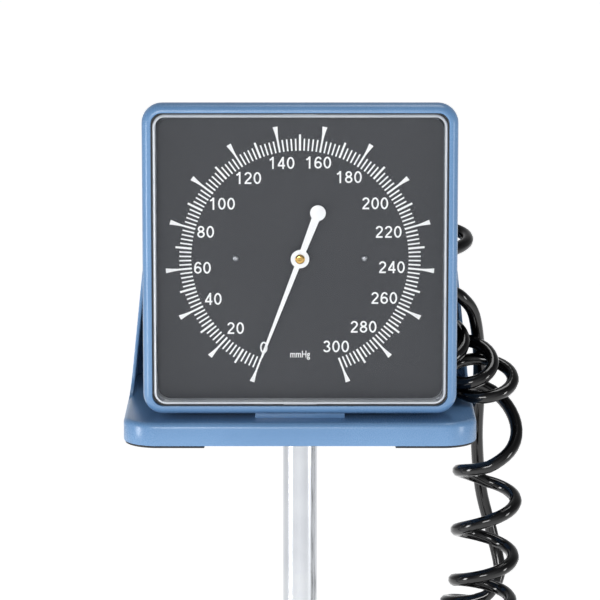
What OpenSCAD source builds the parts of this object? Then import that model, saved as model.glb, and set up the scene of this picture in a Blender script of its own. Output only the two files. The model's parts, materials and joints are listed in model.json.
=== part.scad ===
// Aneroid sphygmomanometer on a five-castor stand: square clock gauge, cuff tray, sliding column.
// Millimetres. Z is up, the dial faces -Y, the origin is on the column's axis at floor level.

/* [Gauge] */
// Side of the square gauge housing
gauge_w = 168; // [160:1:172]
// Depth of the housing from the bezel's front to the back of the rear cover
gauge_depth = 41; // [40:0.5:42]
// Outer corner radius of the housing
gauge_corner = 11; // [8:0.5:14]
// Width of the bezel's front band
bezel_band = 5; // [4:0.5:6]
// How much narrower the housing is at the seam between bezel and rear cover
bezel_draft = 5; // [4:0.5:5]
// Side of the square dial plate
dial_w = 153; // [150:1:154]
// How far the dial lies behind the bezel's front
dial_recess = 8; // [7.5:0.25:9]
// Length of the needle from the pivot to its tip
needle_r = 58; // [50:1:62]
// Angle that the pointer sweeps from 0 to 300 mmHg
pointer_sweep = 318; // [300:1:320]

/* [Movement] */
// Gear module of pinion and sector
gear_module = 0.5; // [0.5:0.05:0.5]
// Teeth on the pinion
pinion_teeth = 12; // [12:1:14]
// Teeth that the sector would have on its whole circle
sector_teeth = 120; // [118:1:122]
// Distance from the sector's pivot to the pin that the push rod lifts
tail_r = 6.5; // [6:0.25:7]
// Diameter of the pressure capsules
capsule_d = 28; // [24:0.5:28]

/* [Tray] */
// Width of the tray and of the pocket behind the gauge
tray_w = 190; // [188:1:191]
// Depth of the tray from the front lip to the back wall
tray_d = 143.5; // [141:0.5:145]
// Height of the tray's skirt
tray_h = 12.5; // [11:0.5:14]
// Plan radius of the tray's corners
tray_corner = 19; // [16:1:22]
// Distance from the front lip to the pocket's side walls
pocket_front = 81; // [80:1:84]
// Height of the pocket's walls above the tray's floor
pocket_h = 78; // [72:1:80]
// Inward lean of the pocket's walls, degrees
wall_lean = 5.9; // [4:0.1:7]
// Thickness of the pocket's walls
wall_t = 2.2; // [2:0.1:2.6]

/* [Column] */
// Height of the tray's floor above the ground with the column lowered
tray_z = 905; // [890:5:940]
// Outside diameter of the sliding inner column
inner_d = 19; // [19:0.5:19]
// Outside diameter of the fixed outer column
outer_d = 25; // [25:0.5:26]
// Height of the top of the outer column
outer_top_z = 540; // [520:5:560]
// Height of the foot of the inner column, lowered
inner_foot_z = 118; // [110:1:130]

/* [Base] */
// Distance from the column's axis to the castor stems
castor_r = 235; // [220:1:250]
// Diameter of the castor wheels
wheel_d = 50; // [50:1:50]
// How far the wheels trail behind the castor's stem
castor_trail = 18; // [16:0.5:20]

/* [Hose and cuff] */
// Outside diameter of the coiled hose
hose_d = 7; // [6:0.25:7]
// Radius of the hose's centre line in a curl
curl_r = 16; // [15:0.25:16.25]
// Outside diameter of the two short tubes on the cuff
cuff_tube_d = 6; // [5:0.25:6]
// Width of the cuff, which is the length of the stored roll
cuff_w = 140; // [136:1:140]
// Thickness of one layer of the rolled cuff
cuff_t = 4.4; // [3.6:0.2:4.6]

/* [Hidden] */
$fn = 48;
eps = 0.01;
// Running clearance of shafts in their bores, and the gap kept between moving bodies
run_gap = 0.05;
body_gap = 0.3;

// Gauge, from front to back along Y, and the height of its centre, where the pivot is
back_y = 74.5;
lip_y = back_y - tray_d;
tray_middle_y = (lip_y + back_y) / 2;
bezel_y = -61;
dial_y = bezel_y + dial_recess;
seam_y = bezel_y + 18;
gauge_back_y = bezel_y + gauge_depth;
foot_h = 2.7;
gauge_z = tray_z + foot_h + gauge_w / 2;
window_w = gauge_w - 2 * bezel_band;
crystal_w = window_w - 1.6;
rebate_w = gauge_w - 6;
cavity_w = gauge_w - 10;
seam_w = gauge_w - bezel_draft;
case_screw_at = gauge_w / 2 - 11;
// The rounded edge between the bezel's front and its widest line
edge_w = 4.2;
edge_depth = 6.5;
full_w_y = bezel_y + edge_depth;

// Movement: planes behind the dial, and the places of its axes as seen from the front
plate_t = 1.5;
front_plate_at = 10.5;
rear_plate_at = 21;
sector_at = 15.25;
centre_distance = gear_module * (pinion_teeth + sector_teeth) / 2;
sector_travel = pointer_sweep * pinion_teeth / sector_teeth;
rod_travel = 2 * tail_r * sin(sector_travel / 2);
capsule_x = centre_distance + tail_r;
capsule_at = 16;
capsule_top = -14;
capsule_h = 20;
pillar_places = [[-19, 21], [41, 21], [-19, -7]];
port_x = 58;
port_z = tray_z + 95;

// Radius of the tray's upper edge
lip_r = 3;
// How far the pocket's walls stand in from the tray's edge
wall_set = 1.5;

// Column
socket_z = tray_z - 25;
inner_top_z = tray_z - 8;
inner_wall = 1.2;
outer_wall = 1.5;
outer_foot_z = 68;
clamp_z = 522;
collar_r = 18;

// Base and castors
hub_top_z = 122;
leg_end_z = 84;
socket_under_z = 56;
leg_under_z = socket_under_z + 4;
stem_r = 5.5;
wheel_r = wheel_d / 2;
axle_r = 3;
leg_angles = [for (i = [0 : 4]) -90 + 72 * i];
castor_turn = 60;

// Stored cuff, bulb and short tubes, in the pocket behind the gauge
roll_x = [-80, -80 + cuff_w];
roll_y = 43;
roll_z = tray_z + 36.5;
roll_half = [21, 35.5];
bulb_y = 4;
bulb_z = tray_z + 65.5;
bulb_x = [-78, -8];
bulb_r = 23;
valve_end_x = 16;

// Curly hose. Each row is a turn number, the coil's axis there (above the tray's floor) and the
// direction in which the coil runs. The first rows climb down behind the gauge, the middle ones
// lean over the tray's right edge, and the rest hang as a U that a half circle closes.
hung_rows = [
  [0, [80, 2, 89.5], [0, 0.15, -1]],
  [1, [63, 2, 80], [0, 0.1, -1]],
  [2, [52, 2, 70.5], [0, 0.1, -1]],
  [3, [50, 1, 60], [0, 0.2, -1]],
  [4, [56, 0, 48], [0, 0.35, -1]],
  [5, [70, -1, 36], [0.1, 0.5, -1]],
  [6, [86, -6, 24.5], [0.1, 0.45, -1]],
  [7, [99, -7, 14], [0.1, 0.4, -1]],
  [7.5, [101.5, -7, 9], [0.1, 0.3, -1]],
  [7.75, [102.5, -7, 8], [0.1, 0.2, -1]],
  [8, [103.5, -6, 0], [0.1, 0.2, -1]],
  [8.25, [103.5, -6, -19], [0.1, 0.2, -1]],
  [8.5, [103.5, -6, -33], [0, 0.1, -1]],
  [9, [103.5, -6, -50], [0, 0, -1]],
  [10, [102.5, -5, -82], [0, 0, -1]],
  [11, [101.5, -4, -109], [0, 0, -1]],
  [12, [100.5, -4, -129], [0, 0, -1]],
  [13, [99.5, -4, -145], [0, 0, -1]],
  [14, [99.5, -4, -159], [0, 0, -1]],
  [15, [99.5, -4, -173], [0, 0, -1]],
  [16, [99.5, -4, -190], [0, 0, -1]]
];
bend_r = 29;
bend_rows = [for (k = [1 : 5])
  [16 + k, [99.5, bend_r - 4 - bend_r * cos(36 * k), -190 - bend_r * sin(36 * k)],
   [0, sin(36 * k), -cos(36 * k)]]];
rise_rows = [for (k = [1 : 4])
  [21 + k, [99.5, 2 * bend_r - 4, -190 + 12 * k + k * k], [0, 0, 1]]];
coil_rows = concat(hung_rows, bend_rows, rise_rows);
rings_per_curl = 8;
// The two straight leads, above the tray's floor: from the gauge's port to the first curl, and from
// the last curl up beside the tray and over its edge to the connector in the pocket
gauge_lead_rows = [[58, -8, 95], [58, 2, 95], [60.5, 11, 94.6], [68, 17, 93.4]];
cuff_lead_rows = [
  [107.5, 38, -122], [113.5, 42, -110], [109.5, 46, -90], [102.5, 42, -62], [99.5, 33, -30], [100, 24, 0],
  [99.5, 17, 22], [96, 7, 45], [89, -1, 56], [82, -1, 60], [77.5, 7, 61], [76.5, 18, 60]
];
connector_y = [18, 34];
gauge_tube_rows = [[76.5, 34, 60], [76.8, 42, 57], [76.5, 50, 52], [73, 56, 46], [67, 57, 42], [60, 55, 40]];
bulb_tube_rows = [
  [16, 4, 65.5], [22, 5, 66.5], [27, 10, 71], [30, 18, 78], [37, 28, 86], [48, 36, 90],
  [60, 41, 89], [71, 43.5, 84.5], [77.5, 44, 75], [74, 44, 66], [67, 44, 62], [60, 44, 61.5]
];

// Plane shapes and placing

// Square-cornered plate with true arcs at its corners
module round_rect(w, h, r) {
  square([w - 2 * r, h], center = true);
  square([w, h - 2 * r], center = true);
  for (x = [-1, 1], y = [-1, 1])
    translate([x * (w / 2 - r), y * (h / 2 - r)]) circle(r);
}

// Plate parallel to the dial, drawn as seen from the front, between two depths
module upright(y0, y1, z = gauge_z) {
  translate([0, y1, z]) rotate([90, 0, 0]) linear_extrude(y1 - y0) children();
}

// The same behind the dial: depths counted from the dial's face, drawn round the pivot
module behind_dial(d0, d1) {
  upright(dial_y + d0, dial_y + d1, gauge_z) children();
}

module slab(z0, z1) {
  translate([0, 0, z0]) linear_extrude(z1 - z0) children();
}

module tube(r_out, r_in, z0, z1) {
  slab(z0, z1) difference() {
    circle(r_out);
    circle(r_in);
  }
}

// Cylinder along X or Y between two coordinates
module along_x(x0, x1, y, z, r) {
  translate([x0, y, z]) rotate([0, 90, 0]) cylinder(r = r, h = x1 - x0);
}

module along_y(y0, y1, x, z, r) {
  translate([x, y1, z]) rotate([90, 0, 0]) cylinder(r = r, h = y1 - y0);
}

// Curves and swept tubes

function unit(v) = v / norm(v);

function spline(p0, p1, p2, p3, t) =
  0.5 * (2 * p1 + (p2 - p0) * t + (2 * p0 - 5 * p1 + 4 * p2 - p3) * t * t
         + (3 * p1 - p0 - 3 * p2 + p3) * t * t * t);

function on_route(route, i, t) =
  let (n = len(route), p1 = route[i], p2 = route[i + 1])
  spline(i > 0 ? route[i - 1] : 2 * p1 - p2, p1, p2, i + 2 < n ? route[i + 2] : 2 * p2 - p1, t);

function smooth_route(route, steps) = concat(
  [for (i = [0 : len(route) - 2]) for (j = [0 : steps - 1]) on_route(route, i, j / steps)],
  [route[len(route) - 1]]);

// Point of the helix between rows i and i + 1, going clockwise as it runs along its axis
function curl_point(i, t) =
  let (turn = coil_rows[i][0] + (coil_rows[i + 1][0] - coil_rows[i][0]) * t,
       axis = on_route([for (row = coil_rows) row[1]], i, t),
       run = unit(on_route([for (row = coil_rows) row[2]], i, t)),
       u = unit([1, 0, 0] - run[0] * run),
       v = cross(run, u),
       a = 360 * turn - 90)
  axis + curl_r * (cos(a) * u + sin(a) * v);

function coil_points() = [
  for (i = [0 : len(coil_rows) - 2])
    let (steps = round((coil_rows[i + 1][0] - coil_rows[i][0]) * rings_per_curl),
         last = i == len(coil_rows) - 2 ? steps : steps - 1)
    for (j = [0 : last]) curl_point(i, j / steps)];

function tangents(p) = let (n = len(p)) [for (i = [0 : n - 1])
  unit(i == 0 ? p[1] - p[0] : i == n - 1 ? p[n - 1] - p[n - 2] : p[i + 1] - p[i - 1])];

// Ring directions carried along the route without twist
function carried(t, start) =
  [for (i = 0, n = unit(start - (start * t[0]) * t[0]);
        i < len(t);
        i = i + 1, n = i < len(t) ? unit(n - (n * t[i]) * t[i]) : n) n];

// Tube along points p, square to the given directions at both ends
module sweep(p, r, sides, t) {
  n = len(p);
  up = carried(t, [0.31, 0.37, 0.88]);
  points = [for (i = [0 : n - 1]) for (k = [0 : sides - 1])
    let (a = 360 * k / sides) p[i] + r * (cos(a) * up[i] + sin(a) * cross(t[i], up[i]))];
  sides_faces = [for (i = [0 : n - 2]) for (k = [0 : sides - 1])
    let (a = i * sides + k, b = i * sides + (k + 1) % sides) each [[a, a + sides, b], [b, a + sides, b + sides]]];
  start_cap = [for (k = [1 : sides - 2]) [0, k, k + 1]];
  end_cap = [for (k = [1 : sides - 2]) let (e = (n - 1) * sides) [e, e + k + 1, e + k]];
  polyhedron(points, concat(sides_faces, start_cap, end_cap), convexity = 10);
}

// Least distance of a point from a segment, and the least gap of the hose to itself
function from_segment(q, a, b) =
  let (d = b - a, s = min(1, max(0, ((q - a) * d) / (d * d)))) norm(q - a - s * d);

function least_gap(p, skip) = min([for (i = [0 : len(p) - 1]) for (j = [0 : len(p) - 2])
  if (j > i + skip || j + 1 < i - skip) from_segment(p[i], p[j], p[j + 1])]) - hose_d;

function raised(rows) = [for (p = rows) p + [0, 0, tray_z]];

// Whole centre line of the hose and the two places where lead and coil meet
coil_line = raised(coil_points());
gauge_lead_line = smooth_route(raised(concat(gauge_lead_rows, [coil_points()[0]])), 2);
cuff_lead_line = smooth_route(raised(concat([coil_points()[len(coil_line) - 1]], cuff_lead_rows)), 2);
coil_ends = [unit(coil_line[1] - gauge_lead_line[len(gauge_lead_line) - 2]),
             unit(cuff_lead_line[1] - coil_line[len(coil_line) - 2])];

function with_ends(t, first, last) =
  [for (i = [0 : len(t) - 1]) i == 0 ? first : i == len(t) - 1 ? last : t[i]];

// Involute gear teeth

function involute(base_r, r) = let (a = acos(min(1, base_r / r))) tan(a) * 180 / PI - a;

// Outline of one tooth pointing along +X, as [radius, half angle] from root to tip
function tooth_profile(teeth, addendum, dedendum, backlash) =
  let (m = gear_module, rp = m * teeth / 2, rb = rp * cos(20),
       half = 90 / teeth - backlash / 2 / rp * 180 / PI + involute(rb, rp))
  [for (k = [0 : 5]) let (r = rp - dedendum + (addendum + dedendum) * k / 5)
    [r, half - involute(rb, max(r, rb))]];

module teeth(count, from, step, profile, root_r) {
  for (i = [0 : count - 1]) rotate(from + i * step)
    polygon(concat([[root_r, 0] + [0, 0]],
      [for (q = profile) q[0] * [cos(q[1]), -sin(q[1])]],
      [for (k = [len(profile) - 1 : -1 : 0]) profile[k][0] * [cos(profile[k][1]), sin(profile[k][1])]]));
}

// Gauge

// The housing is widest just behind its front edge and tapers from there to the back
module bezel_form() {
  hull() {
    for (d = [0, 0.5, 1.2, 2.4, 4.2, edge_depth]) {
      inset = edge_w * (1 - sqrt(1 - pow(1 - d / edge_depth, 2)));
      upright(bezel_y + max(d - eps, 0), bezel_y + max(d, eps))
        round_rect(gauge_w - 2 * inset, gauge_w - 2 * inset, gauge_corner - inset);
    }
    upright(seam_y - eps, seam_y) round_rect(seam_w, seam_w, gauge_corner - 1);
  }
}

module gauge_bezel() {
  color("#93b7dc") difference() {
    bezel_form();
    upright(bezel_y - 1, seam_y + 1) round_rect(window_w, window_w, 7.5);
    foot_screw_places() cylinder(r = 1.65, h = 14);
    upright(bezel_y + 6.5, bezel_y + 11) round_rect(rebate_w, rebate_w, 8.5);
    difference() {
      upright(bezel_y + 10.9, seam_y + 1) round_rect(cavity_w, cavity_w, 7);
      case_screw_places() along_y(bezel_y + 10.5, seam_y + 1, 0, 0, 7);
    }
    case_screw_places() along_y(bezel_y + 12, seam_y + 1, 0, 0, 1.4);
  }
}

module case_screw_places() {
  for (x = [-1, 1], z = [-1, 1])
    translate([x * case_screw_at, 0, gauge_z + z * case_screw_at]) children();
}

module cover_form(inset, depth) {
  w = seam_w - 2 * inset;
  hull() {
    upright(seam_y, seam_y + eps) round_rect(w, w, gauge_corner - 1);
    upright(gauge_back_y - 3 - depth, gauge_back_y - 3 - depth + eps) round_rect(w - 18, w - 18, 12);
    upright(gauge_back_y - depth - eps, gauge_back_y - depth) round_rect(w - 23, w - 23, 12);
  }
}

module rear_cover() {
  color("#86abd4") difference() {
    union() {
      difference() {
        cover_form(0, 0);
        cover_form(2.5, 2.5);
      }
      intersection() {
        cover_form(0.2, 0.2);
        case_screw_places() along_y(seam_y, gauge_back_y, 0, 0, 6.4);
      }
    }
    upright(seam_y - 1, seam_y + 0.5) round_rect(cavity_w, cavity_w, 7);
    case_screw_places() {
      along_y(seam_y - 1, gauge_back_y + 1, 0, 0, 1.7);
      along_y(seam_y + 2.5, gauge_back_y + 1, 0, 0, 4.2);
    }
    along_y(seam_y, gauge_back_y + 1, port_x, port_z, 5);
    // Two keyholes by which the same housing can hang on a wall
    for (x = [-40, 40]) {
      along_y(gauge_back_y - 4, gauge_back_y + 1, x, gauge_z + 52, 4);
      translate([x - 2, gauge_back_y - 4, gauge_z + 52]) cube([4, 6, 9]);
    }
  }
}

module crystal() {
  color("#dfe9f0", 0.35) {
    upright(bezel_y + 0.2, bezel_y + 3) round_rect(crystal_w, crystal_w, 6.8);
    upright(bezel_y + 2.9, dial_y) difference() {
      round_rect(crystal_w, crystal_w, 6.8);
      round_rect(crystal_w - 4, crystal_w - 4, 5);
    }
    upright(bezel_y + 6.6, dial_y) difference() {
      round_rect(rebate_w - 0.8, rebate_w - 0.8, 8);
      round_rect(crystal_w - 1, crystal_w - 1, 6);
    }
  }
}

module crystal_seal() {
  color("#15171b") upright(bezel_y + 1.2, bezel_y + 6.4) difference() {
    round_rect(window_w - 0.1, window_w - 0.1, 7.4);
    round_rect(crystal_w + 0.1, crystal_w + 0.1, 6.9);
  }
}

module dial_plate() {
  color("#4a4b4d") difference() {
    upright(dial_y, dial_y + 1) round_rect(dial_w, dial_w, 5);
    behind_dial(-1, 2) {
      circle(3.2);
      for (x = [-34.4, 34.4]) translate([x, 0]) circle(1.25);
    }
  }
}

module dial_screws() {
  color("#c9ccd0") for (x = [-34.4, 34.4]) {
    behind_dial(-0.9, 0) translate([x, 0]) circle(1.65);
    behind_dial(-eps, 4) translate([x, 0]) circle(1.2);
  }
}

module carrier_plate() {
  color("#9aa0a6") difference() {
    upright(dial_y + 1, dial_y + 2.6) round_rect(rebate_w - 0.6, rebate_w - 0.6, 8);
    behind_dial(0, 4) {
      circle(6);
      for (x = [-34.4, 34.4]) translate([x, 0]) circle(1.25);
      translate([capsule_x, capsule_top - capsule_h / 2 - 1]) round_rect(32, capsule_h + 8, 3);
      for (x = [-55, 0]) translate([x, -50]) round_rect(44, 34, 6);
      translate([-30, 50]) round_rect(90, 30, 6);
    }
  }
}

// Outline shared by the two plates that carry the gears
module movement_outline() {
  difference() {
    translate([11, 7]) round_rect(70, 38, 5);
    circle(1 + run_gap);
    translate([centre_distance, 0]) circle(1.5 + run_gap);
  }
}

module movement_front_plate() {
  color("#cdb06a") behind_dial(front_plate_at, front_plate_at + plate_t) difference() {
    movement_outline();
    translate([14, 17]) round_rect(26, 8, 3);
  }
}

module movement_rear_plate() {
  color("#cdb06a") behind_dial(rear_plate_at, rear_plate_at + plate_t) movement_outline();
}

module movement_pillars() {
  color("#b59a58") for (p = pillar_places) {
    behind_dial(2.6, front_plate_at) translate(p) circle(2.5);
    behind_dial(front_plate_at + plate_t, rear_plate_at) translate(p) circle(2.5);
  }
}

// Flat spiral spring that takes the play out of the gears, with its stud on the rear plate
module hairspring() {
  turns = 3;
  steps = 60;
  spiral = [for (i = [0 : steps]) let (s = i / steps, r = 2.4 + 4.8 * s) [r, 360 * turns * s]];
  color("#7f8894") {
    behind_dial(19, 20.2) polygon(concat(
      [for (q = spiral) q[0] * [cos(q[1]), sin(q[1])]],
      [for (i = [steps : -1 : 0]) (spiral[i][0] + 0.3) * [cos(spiral[i][1]), sin(spiral[i][1])]]));
    behind_dial(19, rear_plate_at) translate([7.9, 0]) circle(0.9);
  }
}

// Four corrugated capsules that lengthen upwards with the pressure
module capsule_stack() {
  pitch = capsule_h / 4;
  outline = concat([[0, 0]],
    [for (k = [0 : 3]) each [[4, pitch * k], [capsule_d / 2 - 2, pitch * (k + 0.2)],
      [capsule_d / 2, pitch * (k + 0.5)], [capsule_d / 2 - 2, pitch * (k + 0.8)],
      [4, pitch * (k + 1) - eps]]],
    [[0, capsule_h]]);
  color("#b7925a") translate([capsule_x, dial_y + capsule_at, gauge_z + capsule_top - capsule_h])
    rotate_extrude() polygon(outline);
}

module inlet_manifold() {
  base_z = gauge_z + capsule_top - capsule_h;
  y = dial_y + capsule_at;
  color("#a98f57") {
    translate([capsule_x, y, base_z - 7]) cylinder(r = 6, h = 7 - eps);
    along_x(capsule_x, port_x, y, base_z - 3.5, 3.4);
    translate([port_x, y, base_z - 7]) cylinder(r = 3.4, h = port_z - base_z + 7 + 3.4);
    along_y(y, gauge_back_y - 4, port_x, port_z, 4.4);
  }
}

module hose_port() {
  color("#c8ccd2") difference() {
    union() {
      along_y(gauge_back_y - 4, gauge_back_y, port_x, port_z, 4.8);
      translate([port_x, gauge_back_y + 4, port_z]) rotate([90, 0, 0]) cylinder(r = 6.8, h = 4, $fn = 6);
      along_y(gauge_back_y + 4 - eps, -8, port_x, port_z, 4.6);
      for (k = [0 : 2]) along_y(gauge_back_y + 5 + 2.4 * k, gauge_back_y + 6.4 + 2.4 * k, port_x, port_z, 5);
    }
    along_y(gauge_back_y - 5, -10, port_x, port_z, 1.5);
  }
}

module case_screws() {
  color("#b9bec4") case_screw_places() {
    along_y(seam_y + 2.5, seam_y + 4.5, 0, 0, 2.9);
    along_y(bezel_y + 12.5, seam_y + 2.6, 0, 0, 1.35);
  }
}

// Plinth under the middle of the housing, which lifts it clear of the tray
module gauge_foot() {
  slope = bezel_draft / 2 / (seam_y - full_w_y);
  back = seam_y - 0.5;
  color("#8fa9d8") difference() {
    translate([-24, 0, tray_z]) rotate([90, 0, 90]) linear_extrude(48) polygon([[full_w_y, 0], [back, 0],
      [back, foot_h + slope * (back - full_w_y)], [full_w_y, foot_h]]);
    foot_screw_places() cylinder(r = 1.75, h = 20, center = true);
  }
}

module foot_screw_places() {
  for (x = [-15, 15]) translate([x, seam_y - 4.5, tray_z]) children();
}

module foot_screws() {
  color("#b9bec4") foot_screw_places() {
    translate([0, 0, -4.7]) cylinder(r = 3.6, h = 2.2);
    translate([0, 0, -2.6]) cylinder(r = 1.6, h = foot_h + 9);
  }
}

// Moving pieces of the gauge. The pointer stands at 0 mmHg: half the sweep left of the top

module pointer() {
  color("#f2f3f5") difference() {
    union() {
      behind_dial(-3, -2.4) rotate(pointer_sweep / 2) {
        circle(4.95);
        translate([0, -26.6]) circle(4.2);
        polygon([[-1.45, 0], [1.45, 0], [2.2, -24], [-2.2, -24]]);
        polygon([[-1.5, 0], [1.5, 0], [0.6, needle_r - 1], [0, needle_r], [-0.6, needle_r - 1]]);
      }
      behind_dial(-2.5, -1.4) circle(2.5);
    }
    behind_dial(-4, 0) circle(1.02);
  }
}

module pointer_cap() {
  color("#b79d63") translate([0, dial_y - 3, gauge_z]) rotate([90, 0, 0])
    rotate_extrude() polygon([[0, 0], [2.6, 0], [2.6, 0.6], [2.2, 1.05], [1.2, 1.3], [0, 1.4]]);
}

module pinion_arbor() {
  profile = tooth_profile(pinion_teeth, 0.5, 0.45, 0.08);
  root_r = profile[0][0];
  color("#d3b672") {
    behind_dial(-3, 23.2) circle(1);
    behind_dial(13.5, 18.5) rotate(pointer_sweep / 2) {
      circle(root_r + 0.02);
      teeth(pinion_teeth, 180 / pinion_teeth, 360 / pinion_teeth, profile, root_r - 0.6);
    }
    behind_dial(18.8, 20.4) circle(2.1);
  }
}

module sector_gear() {
  profile = tooth_profile(sector_teeth, 0.33, 0.62, 0.08);
  root_r = profile[0][0];
  step = 360 / sector_teeth;
  count = 15;
  reach = step * count / 2;
  rim = [for (i = [0 : 12]) let (a = 180 - reach + 2 * reach * i / 12) [cos(a), sin(a)]];
  color("#c9ab66") translate([centre_distance, 0, 0]) {
    behind_dial(sector_at, sector_at + plate_t) rotate(-sector_travel / 2) {
      circle(4.5);
      polygon(concat([for (q = rim) (root_r + 0.05) * q], [for (i = [12 : -1 : 0]) 25.5 * rim[i]]));
      teeth(count, 180 - reach + step / 2, step, profile, root_r - 1);
      for (a = [180 - reach * 0.75, 180, 180 + reach * 0.75]) rotate(a) translate([14, 0])
        square([25, 2.4], center = true);
      translate([tail_r, 0]) circle(2.2);
      translate([tail_r / 2, 0]) square([tail_r, 3], center = true);
    }
    behind_dial(9.5, 23.5) circle(1.5);
    behind_dial(sector_at, 18.2) rotate(-sector_travel / 2) translate([tail_r, 0]) circle(0.8);
  }
}

module push_rod() {
  pin_z = -tail_r * sin(sector_travel / 2);
  color("#8e949b") {
    behind_dial(17.1, 18.3) translate([capsule_x - 0.1, pin_z]) difference() {
      round_rect(5.4, 4.4, 1);
      square([2.8, 1.9], center = true);
    }
    translate([capsule_x, dial_y + 17.9, gauge_z + capsule_top + 0.1])
      cylinder(r = 0.8, h = pin_z - 2 - capsule_top);
    translate([capsule_x, dial_y + capsule_at + 0.6, gauge_z + capsule_top + 0.1]) cylinder(r = 3, h = 0.9);
  }
}

// Tray with the cuff pocket

module tray_outline(inset) {
  translate([0, tray_middle_y]) round_rect(tray_w - 2 * inset, tray_d - 2 * inset, tray_corner - inset);
}

// Block whose sides lean in towards its top, the form of the pocket inside or outside
module leaning_block(inset, top) {
  lean = (top + lip_r) * tan(wall_lean);
  hull() {
    slab(tray_z - lip_r - eps, tray_z - lip_r) tray_outline(inset);
    slab(tray_z + top - eps, tray_z + top) translate([0, tray_middle_y - lean / 2])
      round_rect(tray_w - 2 * inset - 2 * lean, tray_d - 2 * inset - lean, tray_corner - inset - 1);
  }
}

// Side view of the pocket's walls: flared foot, upright front edge, rounded top corner
module wall_side_view() {
  front = lip_y + pocket_front;
  flare = 11;
  top_r = 14;
  polygon(concat(
    [for (a = [0 : 15 : 90]) [front - flare + flare * sin(a), flare - lip_r - flare * cos(a)]],
    [for (a = [0 : 15 : 90]) [front + top_r - top_r * cos(a), pocket_h - top_r + top_r * sin(a)]],
    [[back_y + 1, pocket_h], [back_y + 1, -lip_r]]));
}

module tray_ribs() {
  for (x = [-62, -40, 40, 62]) translate([x - 0.8, lip_y + 2, tray_z - 9]) cube([1.6, tray_d - 4, 7]);
  for (y = [-57, 57]) translate([2 - tray_w / 2, y - 0.8, tray_z - 9]) cube([tray_w - 4, 1.6, 7]);
}

module pad_form(inset, z0, z1) {
  slab(z0, z1) intersection() {
    difference() {
      tray_outline(inset);
      tray_outline(10 - inset);
    }
    for (x = [-1, 1], y = [lip_y, back_y]) translate([x * 73, y]) square([44, 34], center = true);
  }
}

module cuff_tray() {
  color("#8cb1dc") difference() {
    union() {
      difference() {
        union() {
          slab(tray_z - tray_h, tray_z - lip_r) tray_outline(0);
          hull() {
            slab(tray_z - lip_r - eps, tray_z - lip_r) tray_outline(0);
            slab(tray_z - 1.1, tray_z - 1.1 + eps) tray_outline(0.7);
            slab(tray_z - eps, tray_z) tray_outline(2.6);
          }
        }
        slab(tray_z - tray_h - 1, tray_z - 2.5) tray_outline(2.6);
      }
      pad_form(2.4, tray_z - tray_h + 1, tray_z - 2.4);
      difference() {
        tray_ribs();
        slab(tray_z - tray_h, tray_z) circle(34);
      }
      intersection() {
        difference() {
          leaning_block(wall_set, pocket_h);
          leaning_block(wall_set + wall_t, pocket_h + 1);
        }
        translate([-tray_w, 0, tray_z]) rotate([90, 0, 90]) linear_extrude(2 * tray_w) wall_side_view();
      }
    }
    translate([0, 0, tray_z - 6]) cylinder(r = 8.5, h = 8);
    socket_screw_places() cylinder(r = 2.2, h = 12, center = true);
    foot_screw_places() cylinder(r = 1.75, h = 12, center = true);
  }
}

module tray_pads() {
  color("#17181a") pad_form(0.8, tray_z - tray_h - 1.2, tray_z - tray_h);
}

module socket_screw_places() {
  for (x = [-17, 17], y = [-17, 17]) translate([x, y, tray_z]) children();
}

module column_socket() {
  color("#a9adb3") difference() {
    union() {
      slab(tray_z - 6.5, tray_z - 2.5) circle(32);
      translate([0, 0, socket_z]) cylinder(r1 = 13.4, r2 = 15, h = 19);
      for (a = [0 : 90 : 270]) rotate(a) translate([12, -1.5, tray_z - 18]) rotate([90, 0, 90])
        linear_extrude(16) polygon([[0, 0], [3, 0], [3, 12], [0, 12]]);
    }
    translate([0, 0, socket_z - 1]) cylinder(r = inner_d / 2 + run_gap, h = inner_top_z - socket_z + 1 + run_gap);
    translate([0, 0, socket_z]) cylinder(r = 3.3, h = 25);
    translate([0, 0, tray_z - 4.6]) cylinder(r = 8.5, h = 5);
    socket_screw_places() cylinder(r = 1.7, h = 20, center = true);
  }
}

module socket_screws() {
  color("#b9bec4") socket_screw_places() {
    cylinder(r = 3.6, h = 2);
    translate([0, 0, -6.5]) cylinder(r = 1.65, h = 6.6);
  }
}

// Column

module inner_column() {
  color("#dfe1e4") tube(inner_d / 2, inner_d / 2 - inner_wall, inner_foot_z + 12, inner_top_z);
}

module column_top_plug() {
  color("#3c3f44") tube(inner_d / 2 - inner_wall, 2.6, inner_top_z - 22, inner_top_z);
}

module head_screw() {
  color("#c3c7cc") {
    translate([0, 0, inner_top_z - 16]) cylinder(r = 2.55, h = 8 + 16 - 4.3);
    translate([0, 0, inner_top_z]) cylinder(r = 2.9, h = 3.8);
    translate([0, 0, tray_z - 4.3]) cylinder(r = 7, h = 1.2);
    translate([0, 0, tray_z - 3.2]) cylinder(r = 5.7, h = 3.1, $fn = 6);
  }
}

module column_foot() {
  color("#2b2d31") {
    tube(outer_d / 2 - outer_wall - run_gap, 4, inner_foot_z, inner_foot_z + 12);
    tube(inner_d / 2 - inner_wall, 4, inner_foot_z + 12 - eps, inner_foot_z + 32);
  }
}

module outer_column() {
  color("#d5d8dc") difference() {
    union() {
      tube(outer_d / 2, outer_d / 2 - outer_wall, outer_foot_z, outer_top_z);
      tube(outer_d / 2 - outer_wall + eps, 4.1, outer_foot_z, outer_foot_z + 4);
    }
    along_x(-20, 0, 0, clamp_z, 5);
  }
}

module guide_bush() {
  color("#e8e8e6") difference() {
    union() {
      tube(outer_d / 2 - outer_wall, inner_d / 2 + run_gap, outer_top_z - 60, outer_top_z + 2);
      tube(outer_d / 2 - 0.1, inner_d / 2 + run_gap, outer_top_z, outer_top_z + 2);
    }
    along_x(-20, 0, 0, clamp_z, 5);
  }
}

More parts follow.
